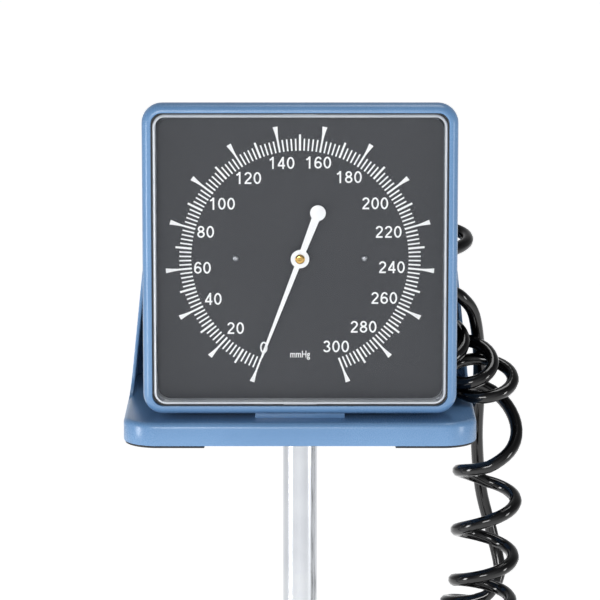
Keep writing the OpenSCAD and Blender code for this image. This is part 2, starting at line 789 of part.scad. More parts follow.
module height_collar() {
  top = outer_top_z + 6;
  color("#1d1f22") difference() {
    union() {
      rotate_extrude() polygon([[0, clamp_z - 27], [collar_r - 2, clamp_z - 27], [collar_r, clamp_z - 24],
        [collar_r, top - 6], [collar_r - 1.2, top - 2], [collar_r - 4, top], [0, top]]);
      along_x(-31, 0, 0, clamp_z, 9.5);
    }
    translate([0, 0, clamp_z - 30]) cylinder(r = outer_d / 2 + run_gap, h = outer_top_z + 2.1 - clamp_z + 30);
    cylinder(r = inner_d / 2 + 0.3, h = top + 1);
    along_x(-40, 0, 0, clamp_z, 4);
  }
}

// Five-lobed hand knob of the height clamp
module clamp_knob() {
  color("#1d1f22") translate([-52, 0, clamp_z]) rotate([0, 90, 0]) difference() {
    union() {
      linear_extrude(14) {
        circle(14);
        for (a = [0 : 72 : 288]) rotate(a) translate([12.5, 0]) circle(6);
      }
      translate([0, 0, 13.9]) cylinder(r1 = 12, r2 = 8.5, h = 6.8);
    }
    translate([0, 0, 3]) cylinder(r = 3.97, h = 30);
  }
}

module clamp_screw() {
  color("#b9bec4") along_x(-48, -inner_d / 2 - body_gap, 0, clamp_z, 4 - run_gap);
}

// Base

function leg_top(r) = leg_end_z - 4 + 34 * pow(1 - (r - 15) / (castor_r - 15), 2);

module leg_side_view() {
  points = [for (i = [0 : 8]) let (r = 15 + (castor_r - 15) * i / 8) [r, leg_top(r)]];
  polygon(concat([[15, leg_under_z + 2]], points, [[castor_r, leg_under_z]]));
}

module leg_plan(inset) {
  polygon([[10, -23 + inset], [castor_r - 4, -14 + inset], [castor_r - 4, 14 - inset], [10, 23 - inset]]);
}

module leg() {
  intersection() {
    translate([0, 60, 0]) rotate([90, 0, 0]) linear_extrude(120) leg_side_view();
    slab(40, 150) leg_plan(0);
  }
}

// Shallow recess in the underside, between the hub and the castor's socket
module leg_recess() {
  difference() {
    slab(leg_under_z - 5, leg_under_z + 3) leg_plan(4);
    cylinder(r = 40, h = 100);
    translate([castor_r, 0, 0]) cylinder(r = 21, h = 100);
  }
}

module star_base() {
  color("#23252a") difference() {
    union() {
      for (a = leg_angles) rotate(a) difference() {
        leg();
        leg_recess();
      }
      rotate_extrude() polygon([[0, 61], [33, 61], [35, 64], [34, 96], [29, 110], [22, 119],
        [17, hub_top_z], [0, hub_top_z]]);
      for (a = leg_angles) rotate(a) translate([castor_r, 0, 0]) rotate_extrude()
        polygon([[0, socket_under_z], [15, socket_under_z], [17, socket_under_z + 2], [17, leg_end_z - 4],
          [14, leg_end_z - 1], [8, leg_end_z + 1], [0, leg_end_z + 1.6]]);
    }
    translate([0, 0, outer_foot_z]) cylinder(r = outer_d / 2 + run_gap, h = 100);
    cylinder(r = 4.3, h = 100);
    for (a = leg_angles) rotate(a) translate([castor_r, 0, socket_under_z - 1])
      cylinder(r = stem_r + run_gap, h = 26);
  }
}

module base_bolt() {
  color("#b9bec4") {
    translate([0, 0, 54]) cylinder(r = 6.5, h = 5.6, $fn = 6);
    translate([0, 0, 59.5]) cylinder(r = 14, h = 1.5);
    translate([0, 0, 60]) cylinder(r = 3.95, h = 22);
  }
}

// Twin-wheel castors. Each is drawn round its stem and then carried to the end of its leg

module at_leg(i) {
  rotate(leg_angles[i]) translate([castor_r, 0, 0]) rotate(castor_turn) children();
}

module castor_body() {
  hood_r = wheel_r + 2.6;
  color("#2a2c31") {
    difference() {
      union() {
        intersection() {
          translate([castor_trail, 23, wheel_r]) rotate([90, 0, 0]) cylinder(r = hood_r, h = 46);
          translate([castor_trail, 0, wheel_r]) rotate([0, -20, 0]) translate([-40, -30, 3]) cube([80, 60, 40]);
        }
        translate([0, 0, 40]) cylinder(r = 9.5, h = socket_under_z - 0.5 - 40);
        translate([castor_trail, 4, wheel_r]) rotate([90, 0, 0]) cylinder(r = 9, h = 8);
      }
      for (side = [-1, 1]) translate([castor_trail, side * 14.5, wheel_r]) rotate([90, 0, 0])
        cylinder(r = wheel_r + 0.8, h = 21, center = true);
    }
    translate([0, 0, socket_under_z - 2]) cylinder(r = stem_r, h = 24);
    translate([castor_trail, 21.5, wheel_r]) rotate([90, 0, 0]) cylinder(r = axle_r, h = 43);
  }
}

module castor_wheels() {
  color("#3a3d42") for (side = [-1, 1])
    translate([castor_trail, 0, wheel_r]) rotate([-90 * side, 0, 0]) rotate_extrude()
      polygon([[axle_r + run_gap, 4.6], [9, 4.6], [10, 5.2], [22.5, 5.2], [wheel_r - 0.8, 6], [wheel_r, 8],
        [wheel_r, 18.5], [wheel_r - 1, 20.5], [22, 21.2], [19, 20], [9, 19.2], [7, 21], [axle_r + run_gap, 21]]);
}

module castor_body_1() { at_leg(0) castor_body(); }
module castor_body_2() { at_leg(1) castor_body(); }
module castor_body_3() { at_leg(2) castor_body(); }
module castor_body_4() { at_leg(3) castor_body(); }
module castor_body_5() { at_leg(4) castor_body(); }
module castor_wheels_1() { at_leg(0) castor_wheels(); }
module castor_wheels_2() { at_leg(1) castor_wheels(); }
module castor_wheels_3() { at_leg(2) castor_wheels(); }
module castor_wheels_4() { at_leg(3) castor_wheels(); }
module castor_wheels_5() { at_leg(4) castor_wheels(); }

// Cuff set stored in the pocket

// The rolled cuff is one band wound as an oval spiral, from its core to the outer flap
module cuff() {
  turns = 3.75;
  steps = 90;
  core = 0.17;
  line = [for (i = [0 : steps]) let (s = i / steps) [core + (1 - core) * s, 360 * turns * s]];
  function edge(q, out) = let (grow = q[0] * roll_half - [out, out])
    [grow[0] * cos(q[1] + 150), grow[1] * sin(q[1] + 150)];
  color("#27406b") translate([roll_x[0], roll_y, roll_z]) rotate([90, 0, 90]) linear_extrude(cuff_w)
    polygon(concat([for (q = line) edge(q, 0)], [for (i = [steps : -1 : 0]) edge(line[i], cuff_t)]));
}

module cuff_gauge_tube() {
  p = smooth_route(raised(gauge_tube_rows), 2);
  color("#1b1c1f") sweep(p, cuff_tube_d / 2, 8, with_ends(tangents(p), [0, 1, 0], [-1, 0, 0]));
}

module cuff_bulb_tube() {
  p = smooth_route(raised(bulb_tube_rows), 2);
  color("#1b1c1f") sweep(p, cuff_tube_d / 2, 8, with_ends(tangents(p), [1, 0, 0], [-1, 0, 0]));
}

module hose_coil() {
  whole = concat(gauge_lead_line, [for (i = [1 : len(coil_line) - 1]) coil_line[i]],
    [for (i = [1 : len(cuff_lead_line) - 1]) cuff_lead_line[i]]);
  echo("least gap of the hose to itself, mm", least_gap(whole, 4));
  color("#0f1012") sweep(coil_line, hose_d / 2, 6, with_ends(tangents(coil_line), coil_ends[0], coil_ends[1]));
}

module hose_gauge_lead() {
  p = gauge_lead_line;
  color("#0f1012") sweep(p, hose_d / 2, 8, with_ends(tangents(p), [0, 1, 0], coil_ends[0]));
}

module hose_cuff_lead() {
  p = cuff_lead_line;
  color("#0f1012") sweep(p, hose_d / 2, 8, with_ends(tangents(p), coil_ends[1], [0, 1, 0]));
}

module hose_connector() {
  x = 76.5;
  z = tray_z + 60;
  color("#c8ccd2") {
    along_y(connector_y[0], connector_y[1], x, z, 3.4);
    along_y(connector_y[0] + 1, connector_y[0] + 8.5, x, z, 4.4);
    along_y(connector_y[0] + 9.2, connector_y[1] - 1, x, z, 4);
  }
}

module inflation_bulb() {
  half = (bulb_x[1] - bulb_x[0]) / 2;
  color("#141517") translate([(bulb_x[0] + bulb_x[1]) / 2, bulb_y, bulb_z]) rotate([0, 90, 0])
    rotate_extrude() polygon(concat([[0, -half], [6.5, -half], [7, 4 - half]],
      [for (a = [-70 : 10 : 70]) [bulb_r * pow(cos(a), 0.62), (half - 4.5) * sin(a)]],
      [[7, half - 4], [6.5, half], [0, half]]));
}

module bulb_end_valve() {
  color("#c8ccd2") {
    along_x(bulb_x[0] - 2.5, bulb_x[0], bulb_y, bulb_z, 7.5);
    along_x(bulb_x[0] - 4.5, bulb_x[0] - 2.4, bulb_y, bulb_z, 5.5);
  }
}

module release_valve() {
  color("#c8ccd2") difference() {
    union() {
      along_x(bulb_x[1], bulb_x[1] + 3, bulb_y, bulb_z, 7);
      along_x(bulb_x[1] + 2.9, 11, bulb_y, bulb_z, 5.6);
      along_x(10.9, valve_end_x, bulb_y, bulb_z, 3.2);
      translate([2, bulb_y, bulb_z]) cylinder(r = 4.6, h = 8.5);
    }
    translate([2, bulb_y, bulb_z + 1]) cylinder(r = 2.5 + run_gap, h = 20);
  }
}

// Knurled thumb screw that lets the air out
module release_screw() {
  color("#d4d7dc") translate([2, bulb_y, bulb_z]) {
    translate([0, 0, 2]) cylinder(r = 2.5, h = 9);
    translate([0, 0, 9.5]) linear_extrude(8.5) {
      circle(6);
      for (a = [0 : 20 : 340]) rotate(a) translate([6, 0]) circle(0.6, $fn = 6);
    }
  }
}

gauge_bezel();
rear_cover();
crystal();
crystal_seal();
dial_plate();
dial_screws();
carrier_plate();
movement_front_plate();
movement_rear_plate();
movement_pillars();
hairspring();
capsule_stack();
inlet_manifold();
hose_port();
case_screws();
gauge_foot();
foot_screws();
pointer();
pointer_cap();
pinion_arbor();
sector_gear();
push_rod();
cuff_tray();
tray_pads();
column_socket();
socket_screws();
inner_column();
column_top_plug();
head_screw();
column_foot();
outer_column();
guide_bush();
height_collar();
clamp_knob();
clamp_screw();
star_base();
base_bolt();
castor_body_1();
castor_body_2();
castor_body_3();
castor_body_4();
castor_body_5();
castor_wheels_1();
castor_wheels_2();
castor_wheels_3();
castor_wheels_4();
castor_wheels_5();
cuff();
cuff_gauge_tube();
cuff_bulb_tube();
hose_coil();
hose_gauge_lead();
hose_cuff_lead();
hose_connector();
inflation_bulb();
bulb_end_valve();
release_valve();
release_screw();
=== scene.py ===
import json
import math
import random

import bpy
from mathutils import Matrix, Vector


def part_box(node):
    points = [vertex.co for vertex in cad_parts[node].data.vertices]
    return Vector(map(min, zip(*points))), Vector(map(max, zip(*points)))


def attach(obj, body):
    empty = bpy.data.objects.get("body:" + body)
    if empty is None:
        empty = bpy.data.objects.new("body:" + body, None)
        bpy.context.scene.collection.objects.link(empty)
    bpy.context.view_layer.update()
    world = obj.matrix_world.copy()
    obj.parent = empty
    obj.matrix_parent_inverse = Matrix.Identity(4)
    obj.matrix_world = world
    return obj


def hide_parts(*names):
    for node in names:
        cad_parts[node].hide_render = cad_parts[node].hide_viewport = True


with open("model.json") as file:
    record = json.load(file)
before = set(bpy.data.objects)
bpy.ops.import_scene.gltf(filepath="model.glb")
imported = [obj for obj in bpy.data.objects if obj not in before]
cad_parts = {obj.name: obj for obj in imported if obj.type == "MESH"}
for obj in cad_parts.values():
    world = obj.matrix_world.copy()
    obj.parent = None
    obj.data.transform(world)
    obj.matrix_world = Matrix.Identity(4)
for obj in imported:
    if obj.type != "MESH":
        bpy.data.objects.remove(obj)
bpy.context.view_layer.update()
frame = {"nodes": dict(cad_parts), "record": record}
scene = bpy.context.scene

# Places that the frame gives
TRAY_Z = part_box("gauge_foot")[0].z
BEZEL_LOW, BEZEL_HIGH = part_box("gauge_bezel")
COVER_LOW, COVER_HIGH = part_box("rear_cover")
CRYSTAL_LOW, CRYSTAL_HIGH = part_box("crystal")
TRAY_LOW, TRAY_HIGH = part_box("cuff_tray")
DIAL_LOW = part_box("dial_plate")[0]
CAP_LOW, CAP_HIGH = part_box("pointer_cap")
PIVOT = Vector(((CAP_LOW.x + CAP_HIGH.x) / 2, DIAL_LOW.y, (CAP_LOW.z + CAP_HIGH.z) / 2))

# The photograph: its side and the pivot's place in pixels, the scale there, and the viewing angle
PHOTO_SIDE = 600
PIVOT_PIXEL = (300.0, 258.3)
PIXELS_PER_METRE = 1874
VIEW_DOWN = math.radians(9.7)
VIEW_DISTANCE = 1.9

# Gauge
GAUGE_MIDDLE = Vector((0, BEZEL_LOW.y, (BEZEL_LOW.z + BEZEL_HIGH.z) / 2))
GAUGE_CORNER = 0.011
# The rounded edge between the bezel's front and its widest line, and the eased edge of the window
EDGE_WIDE = 0.0042
EDGE_DEEP = 0.0065
WINDOW_EASE = 0.0005
# The seam between bezel and back shell, the window, and the rebate behind it that holds the crystal
SEAM_Y = COVER_LOW.y
SEAM_SIDE = 0.163
WINDOW_SIDE = 0.158
REBATE_SIDE = 0.162
REBATE_FRONT = -0.0545
REBATE_BACK = -0.050
BEZEL_BAND = 0.005
WINDOW_CORNER = 0.0075
# How far out from the gauge's middle the four case screws stand
CASE_SCREW_AT = 0.073
CASE_CORNERS = [(x * CASE_SCREW_AT, GAUGE_MIDDLE.z + z * CASE_SCREW_AT) for x in (-1, 1) for z in (-1, 1)]
# Back shell: its wall, how deep its rounded rim is, its sides there and at the back, and the keyholes' places
COVER_WALL = 0.0025
COVER_RIM = 0.003
RIM_SIDE = SEAM_SIDE - 0.018
BACK_SIDE = SEAM_SIDE - 0.023
KEYHOLE_ASIDE = 0.040
KEYHOLE_UP = 0.052
# Its bosses, which end short of the back, their wells, the keyholes with their slots, the port's hole, and how
# far a cutting tool passes a surface
BOSS_R = 0.0064
BOSS_SHORT = 0.0035
WELL_R = 0.0042
KEYHOLE_R = 0.004
KEYHOLE_LONG = 0.009
PORT_HOLE_R = 0.005
CUT_PAST = 0.001
# Where the hose's port stands in the back
PORT = Vector((0.058, -0.020, TRAY_Z + 0.095))
# Crystal: its side, its rounded edge, its wall, front and rear flange, and the length of a clip tab
CRYSTAL_SIDE = 0.1564
CRYSTAL_EDGE = 0.0018
CRYSTAL_WALL = 0.002
CRYSTAL_FRONT = 0.0024
FLANGE_THICK = 0.0014
CLIP_TAB = 0.0186

# Dial: degrees from zero to the highest pressure, and that pressure in mmHg
SCALE_SWEEP = 318
SCALE_TOP = 300
# Marks: their inner and outer radii and widths. A major mark flares in two steps from FLARE_FROM outwards.
TICK_INNER = 0.0580
MINOR_OUTER = 0.0644
TEN_OUTER = 0.0667
FLARE_FROM = 0.0655
MAJOR_OUTER = 0.0719
FLARE_FIRST = 0.003
MINOR_WIDE = 0.0008
TEN_WIDE = 0.0011
MAJOR_WIDE = 0.0010
# Thickness of the ink, the dial screws' distance from the pivot, and the field of a digit
PRINT_THICK = 0.00006
DIAL_SCREW_ASIDE = 0.0344
DIGIT_HEIGHT = 0.0065
DIGIT_WIDTH = 0.0063
# The unit: its height, how narrow its letters are, and how far it stands below the pivot
UNIT_HEIGHT = 0.0038
UNIT_NARROW = 0.76
UNIT_BELOW = 0.0523
# Centre of each number from the pivot, across and up, in millimetres
NUMBER_PLACES = {
    0: (-19.4, -48.5), 20: (-34.5, -37.9), 40: (-46.4, -22.0), 60: (-52.1, -5.1), 80: (-50.3, 14.3),
    100: (-41.6, 29.5), 120: (-27.6, 43.3), 140: (-9.9, 51.4), 160: (9.6, 51.6), 180: (25.9, 43.8),
    200: (40.0, 29.7), 220: (47.2, 14.3), 240: (49.0, -4.8), 260: (45.0, -21.5), 280: (34.0, -37.2),
    300: (19.3, -47.9),
}

# Light and dark of the blue mouldings
BLUE_LIGHT = "658BB4"
BLUE_DARK = "6086AF"

# Tray
TRAY_CORNER = 0.019
TRAY_SKIRT = 0.0125
TRAY_LIP = 0.003
WALL_THICK = 0.0019
WALL_LEAN = math.radians(5.9)
POCKET_FRONT = TRAY_LOW.y + 0.081
# How far the pocket's walls stand in from the tray's edge
WALL_SET = 0.0005
# The walls' concave foot: its height, how far it runs forwards and how far it spreads sideways
FLARE = 0.014
FLARE_RUN = 0.026
FLARE_SPREAD = 0.0003
WALL_TOP_RADIUS = 0.014
# Under the tray: its skirt and floor, the hole for the head screw, the ribs' places, half thickness, lower and
# upper edges below the floor and how far they stop short of the outline, and the seats over the corner pads
SKIRT_THICK = 0.0026
FLOOR_THICK = 0.0025
ACCESS_R = 0.0085
RIBS_ACROSS = (-0.062, -0.040, 0.040, 0.062)
RIBS_ALONG = (-0.057, 0.057)
RIB_HALF = 0.0008
RIB_LOW = 0.009
RIB_TOP = 0.0022
RIB_SHORT = Vector((0.002, 0.002, 0))
SEAT_ABOVE_PAD = 0.0021

# Column: middle of the clamp that grips the inner tube
CLAMP = Vector((0, 0, (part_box("clamp_knob")[0].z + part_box("clamp_knob")[1].z) / 2))

# Base: its legs, where a leg starts and how far it reaches, the heights of its foot and its tip, how
# far its root rises above the tip and over what run, and how far out the castors stand
LEGS = 5
LEG_INNER = 0.015
LEG_REACH = 0.216
LEG_FOOT = 0.060
LEG_TOP = 0.080
LEG_RISE = 0.034
LEG_BEND = 0.220
CASTOR_OUT = 0.235
# Half of a leg's width at its root and at its tip
ROOT_HALF = 0.023
TIP_HALF = 0.014
# Its wall round the hollow underneath, how deep that is, and the rounding of its upper edges
LEG_WALL = 0.004
LEG_HOLLOW = 0.0025
LEG_CROWN = 0.0045

# Rolled cuff: middle of the roll, its half sizes across and up, its turns and what its core keeps of them
CUFF_LOW, CUFF_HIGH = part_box("cuff")
ROLL_PLACE = Vector((CUFF_LOW.x, 0.043, TRAY_Z + 0.0365))
CUFF_WIDTH = CUFF_HIGH.x - CUFF_LOW.x
CUFF_THICK = 0.0044
ROLL_HALF = (0.021, 0.0355)
ROLL_TURNS = 3.75
ROLL_CORE = 0.17
CUFF_LENGTH = 0.51
THREAD_STEP = 0.0009
# How far in from its hem the band is full, and the share of the winding over which each end thins
PUFF_RUN = 0.012
END_RUN = 0.004
# Stitches: how far in from the cuff's edge, how deep, from one to the next, and the share of the winding that
# the rows take up, with the step at which it is followed
HEM = 0.006
STITCH_DEPTH = 0.0009
STITCH_STEP = 0.0029
ROWS_FROM = 0.735
ROWS_TO = 0.985
ROWS_BY = 0.002

# Hose and tubes: their diameters and the radius of a curl
HOSE_D = 0.007
CURL_R = 0.016
CUFF_TUBE_D = 0.006
# Steps of a route between two of its points, and the fineness of a tube's round section
ROUTE_STEPS = 6
TUBE_SIDES = 3
# The hanging coil: curls so far, the place of its axis and the direction of the axis there. Places here and on
# the routes below are in millimetres above the tray's floor.
HUNG_ROWS = [
    (0, (80, 2, 89.5), (0, 0.15, -1)), (1, (63, 2, 80), (0, 0.1, -1)), (2, (52, 2, 70.5), (0, 0.1, -1)),
    (3, (50, 1, 60), (0, 0.2, -1)), (4, (56, 0, 48), (0, 0.35, -1)), (5, (70, -1, 36), (0.1, 0.5, -1)),
    (6, (86, -6, 24.5), (0.1, 0.45, -1)), (7, (99, -7, 14), (0.1, 0.4, -1)), (7.5, (101.5, -7, 9), (0.1, 0.3, -1)),
    (7.75, (102.5, -7, 8), (0.1, 0.2, -1)), (8, (103.5, -6, 0), (0.1, 0.2, -1)),
    (8.25, (103.5, -6, -19), (0.1, 0.2, -1)), (8.5, (103.5, -6, -33), (0, 0.1, -1)),
    (9, (103.5, -6, -50), (0, 0, -1)), (10, (102.5, -5, -82), (0, 0, -1)), (11, (101.5, -4, -109), (0, 0, -1)),
    (12, (100.5, -4, -129), (0, 0, -1)), (13, (99.5, -4, -145), (0, 0, -1)), (14, (99.5, -4, -159), (0, 0, -1)),
    (15, (99.5, -4, -173), (0, 0, -1)), (16, (99.5, -4, -190), (0, 0, -1)),
]
# The half circle at its foot
BEND_R = 0.029
BEND_MIDDLE = Vector((0.0995, 0.025, -0.190))
# From the port to the coil, from the coil back up to the cuff's coupling, and the two tubes in the pocket
GAUGE_LEAD = [(58, -8, 95), (58, 2, 95), (60.5, 11, 94.6), (68, 17, 93.4)]
CUFF_LEAD = [(107.5, 38, -122), (113.5, 42, -110), (109.5, 46, -90), (102.5, 42, -62), (99.5, 33, -30), (100, 24, 0),
             (99.5, 17, 22), (96, 7, 45), (89, -1, 56), (82, -1, 60), (77.5, 7, 61), (76.5, 18, 60)]
GAUGE_TUBE = [(76.5, 34, 60), (76.8, 42, 57), (76.5, 50, 52), (73, 56, 46), (67, 57, 42), (60, 55, 40)]
BULB_TUBE = [(16, 4, 65.5), (22, 5, 66.5), (27, 10, 71), (30, 18, 78), (37, 28, 86), (48, 36, 90), (60, 41, 89),
             (71, 43.5, 84.5), (77.5, 44, 75), (74, 44, 66), (67, 44, 62), (60, 44, 61.5)]


# Modelling by hand: small steps that the pieces below share

def deselect():
    bpy.ops.object.select_all(action="DESELECT")


def make_active(piece):
    deselect()
    piece.select_set(True)
    bpy.context.view_layer.objects.active = piece


def named(name):
    """Names the new primitive and puts its place into its mesh."""
    piece = bpy.context.object
    piece.name = piece.data.name = name
    bpy.ops.object.transform_apply()
    return piece


def block(name, low, high):
    deselect()
    low, high = Vector(low), Vector(high)
    bpy.ops.mesh.primitive_cube_add(size=1, location=(low + high) / 2)
    bpy.context.object.scale = high - low
    return named(name)


def rod(name, start, end, radius, sides=48):
    """Closed cylinder between two points."""
    deselect()
    start, end = Vector(start), Vector(end)
    turn = (end - start).to_track_quat("Z", "Y").to_euler()
    bpy.ops.mesh.primitive_cylinder_add(vertices=sides, radius=radius, depth=(end - start).length,
                                        location=(start + end) / 2, rotation=turn)
    return named(name)


def edit(piece):
    """Opens the piece in edit mode with everything selected."""
    make_active(piece)
    bpy.ops.object.mode_set(mode="EDIT")
    bpy.ops.mesh.select_mode(type="VERT")
    bpy.ops.mesh.select_all(action="SELECT")


def done():
    bpy.ops.object.mode_set(mode="OBJECT")


def choose(piece, kind, wanted):
    """Opens the piece in edit mode with what `wanted` accepts selected: a vertex by its place, an edge
    by its two ends, a face by its centre and normal."""
    make_active(piece)
    bpy.ops.object.mode_set(mode="EDIT")
    bpy.ops.mesh.select_mode(type=kind)
    bpy.ops.mesh.select_all(action="DESELECT")
    done()
    mesh = piece.data
    if kind == "VERT":
        for vertex in mesh.vertices:
            vertex.select = wanted(vertex.co)
    elif kind == "EDGE":
        for edge in mesh.edges:
            edge.select = wanted(*(mesh.vertices[i].co for i in edge.vertices))
    else:
        for face in mesh.polygons:
            face.select = wanted(face.center, face.normal)
    bpy.ops.object.mode_set(mode="EDIT")


def bevel_edges(piece, wanted, radius, segments=4):
    choose(piece, "EDGE", wanted)
    bpy.ops.mesh.bevel(offset=radius, offset_type="OFFSET", segments=segments, affect="EDGES")
    done()


def round_upright_edges(piece, axis, radius, segments=10):
    """Rounds the edges of a block that run along one axis."""
    others = [i for i in range(3) if i != axis]
    bevel_edges(piece, lambda a, b: all(abs(a[i] - b[i]) < 1e-6 for i in others), radius, segments)


def round_rim(piece, axis, level, radius, segments=4):
    """Rounds the outline of the flat face that lies in one plane across an axis."""
    choose(piece, "FACE", lambda c, n: abs(c[axis] - level) < 1e-6 and abs(n[axis]) > 0.99)
    bpy.ops.mesh.region_to_loop()
    bpy.ops.mesh.bevel(offset=radius, offset_type="OFFSET", segments=segments, affect="EDGES")
    done()


def bisect(piece, place, normal):
    edit(piece)
    bpy.ops.mesh.bisect(plane_co=place, plane_no=normal)
    done()


def choose_end(piece, axis, side):
    """Opens the piece in edit mode with its faces at one end of an axis selected."""
    choose(piece, "FACE", lambda c, n: n[axis] * side > 0.9)


def scale_face(piece, axis, side, factors, centre):
    """Scales the face at one end of an axis, which gives a block its draft."""
    choose_end(piece, axis, side)
    bpy.ops.transform.resize(value=factors, center_override=centre)
    done()


def extrude_on(move, factors=(1, 1, 1), centre=(0, 0, 0)):
    """In edit mode: carries what is selected on by one more section, moved and then scaled."""
    bpy.ops.mesh.extrude_region_move(TRANSFORM_OT_translate={"value": move})
    bpy.ops.transform.resize(value=factors, center_override=centre)


def apply_modifier(piece, kind, **settings):
    make_active(piece)
    modifier = piece.modifiers.new(kind.lower(), kind)
    for name, value in settings.items():
        setattr(modifier, name, value)
    bpy.ops.object.modifier_apply(modifier=modifier.name)


def smooth(piece, angle=35):
    make_active(piece)
    bpy.ops.object.shade_smooth_by_angle(angle=math.radians(angle))


def soften(piece, width, segments=3, angle=30):
    """Rounds every edge sharper than the angle and smooths the shading across the rest."""
    apply_modifier(piece, "BEVEL", width=width, segments=segments, limit_method="ANGLE",
                   angle_limit=math.radians(angle), miter_outer="MITER_ARC")
    smooth(piece)


def boolean(piece, tool, operation="DIFFERENCE"):
    apply_modifier(piece, "BOOLEAN", object=tool, operation=operation, solver="EXACT")
    bpy.data.objects.remove(tool)


def join(name, pieces):
    make_active(pieces[0])
    for piece in pieces:
        piece.select_set(True)
    if len(pieces) > 1:
        bpy.ops.object.join()
    pieces[0].name = pieces[0].data.name = name
    return pieces[0]


def outward(piece):
    """Merges doubled points and turns all faces outwards."""
    edit(piece)
    bpy.ops.mesh.remove_doubles(threshold=1e-6)
    bpy.ops.mesh.dissolve_degenerate(threshold=1e-7)
    bpy.ops.mesh.select_all(action="SELECT")
    bpy.ops.mesh.normals_make_consistent(inside=False)
    done()


def copy_of(piece, name, matrix=Matrix()):
    twin = piece.copy()
    twin.data = piece.data.copy()
    twin.name = twin.data.name = name
    twin.data.transform(matrix)
    scene.collection.objects.link(twin)
    return twin


def round_line(name, points, radius, sides, closed=False):
    """Round line of even width through points, as one curve with flat ends, left active."""
    data = bpy.data.curves.new(name, "CURVE")
    data.dimensions = "3D"
    data.bevel_depth = radius
    data.bevel_resolution = sides
    data.use_fill_caps = True
    spline = data.splines.new("POLY")
    spline.points.add(len(points) - 1)
    spline.use_cyclic_u = closed
    for point, place in zip(spline.points, points):
        point.co = (*place, 1)
    piece = bpy.data.objects.new(name, data)
    scene.collection.objects.link(piece)
    make_active(piece)
    return piece


def grid_piece(name, columns, rows, place):
    """Grid whose points `place` lays out from how far across and up the grid each one is, 0 to 1."""
    deselect()
    bpy.ops.mesh.primitive_grid_add(x_subdivisions=columns, y_subdivisions=rows, size=2)
    piece = named(name)
    for vertex in piece.data.vertices:
        vertex.co = place((vertex.co.x + 1) / 2, (vertex.co.y + 1) / 2)
    return piece


def chain(name, points):
    """Open line of edges, left in edit mode with its last point selected."""
    deselect()
    bpy.ops.mesh.primitive_plane_add(size=0.001, location=points[0])
    piece = named(name)
    edit(piece)
    bpy.ops.mesh.merge(type="CENTER")
    for here, there in zip(points, points[1:]):
        bpy.ops.mesh.extrude_region_move(TRANSFORM_OT_translate={"value": Vector(there) - Vector(here)})
    return piece


def lathe(name, profile, centre, axis, steps=48):
    """Turns a profile about an axis through the centre: pairs of distance along it and radius, in millimetres."""
    axis = Vector(axis).normalized()
    side = axis.orthogonal().normalized()
    centre = Vector(centre)
    piece = chain(name, [centre + (axis * along + side * radius) / 1000 for along, radius in profile])
    bpy.ops.mesh.select_all(action="SELECT")
    bpy.ops.mesh.spin(steps=steps, angle=2 * math.pi, center=centre, axis=axis)
    done()
    outward(piece)
    return piece


def turned(name, profile, centre, axis, steps=48):
    """Lathe work with smooth shading across its shallow steps."""
    piece = lathe(name, profile, centre, axis, steps)
    smooth(piece, 32)
    return piece


def knurl(piece, centre, axis, low, high, depth, steps=48):
    """Sinks every second face of a turned band, so that the band grips."""
    axis, centre = Vector(axis).normalized(), Vector(centre)
    side = axis.orthogonal().normalized()
    across = axis.cross(side)

    def every_second(c, n):
        along = (c - centre).dot(axis)
        turn = math.atan2((c - centre).dot(across), (c - centre).dot(side))
        return low < along < high and abs(n.dot(axis)) < 0.1 and int(turn / (2 * math.pi) * steps + steps) % 2
    choose(piece, "FACE", every_second)
    bpy.ops.mesh.inset(thickness=0, use_individual=False)
    bpy.ops.transform.shrink_fatten(value=-depth)
    done()


def softened(name, node, width, segments=2, angle=30):
    """Copy of a CAD node, merged into clean faces, with its edges broken as a real tool leaves them."""
    piece = copy_of(frame["nodes"][node], name)
    piece.parent = None
    for key in [k for k in piece.keys() if k.startswith("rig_")]:
        del piece[key]
    edit(piece)
    bpy.ops.mesh.remove_doubles(threshold=1e-6)
    bpy.ops.mesh.dissolve_limited(angle_limit=math.radians(0.6))
    done()
    soften(piece, width, segments, angle)
    return piece


def cross_screw(name, place, axis, head_r, head_h, shank_r, shank_length):
    """Pan-head screw with a cross recess, sizes in millimetres. `place` is the middle of the head's top, and
    `axis` points outwards."""
    axis = Vector(axis).normalized()
    place = Vector(place)
    piece = turned(name, [(0, 0), (0, head_r * 0.55), (-head_h * 0.12, head_r * 0.82), (-head_h * 0.4, head_r * 0.97),
                          (-head_h * 0.7, head_r), (-head_h, head_r * 0.97), (-head_h, shank_r),
                          (-head_h - shank_length, shank_r), (-head_h - shank_length, 0)], place, axis, 32)
    head_r /= 1000
    u = axis.orthogonal().normalized()
    for along in (u, axis.cross(u)):
        half = along * head_r * 0.52
        slot = rod("recess", place - half, place + half, head_r * 0.13, 4)
        slot.data.transform(Matrix.Translation(-axis * head_r * 0.05))
        boolean(piece, slot)
    smooth(piece, 32)
    return piece


def finish_piece(piece, body, slot, *replaced, material=None):
    """Gives a finished piece its body and its slot's material, unless another is given,
    and hides the nodes that it stands for."""
    piece.data.materials.clear()
    piece.data.materials.append(material or MATERIALS[slot])
    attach(piece, body)
    if replaced:
        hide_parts(*replaced)
    return piece


def eased(name, node, width, segments, body, slot, angle=35):
    """Stands in for a CAD node with the same form, its edges broken by the given width."""
    finish_piece(softened(name, node, width, segments, angle), body, slot, node)


# Materials: shared helpers

def linear(colour):
    """sRGB hex value to linear RGBA."""
    channels = [int(colour[i:i + 2], 16) / 255 for i in (0, 2, 4)]
    return [c / 12.92 if c <= 0.04045 else ((c + 0.055) / 1.055) ** 2.4 for c in channels] + [1]


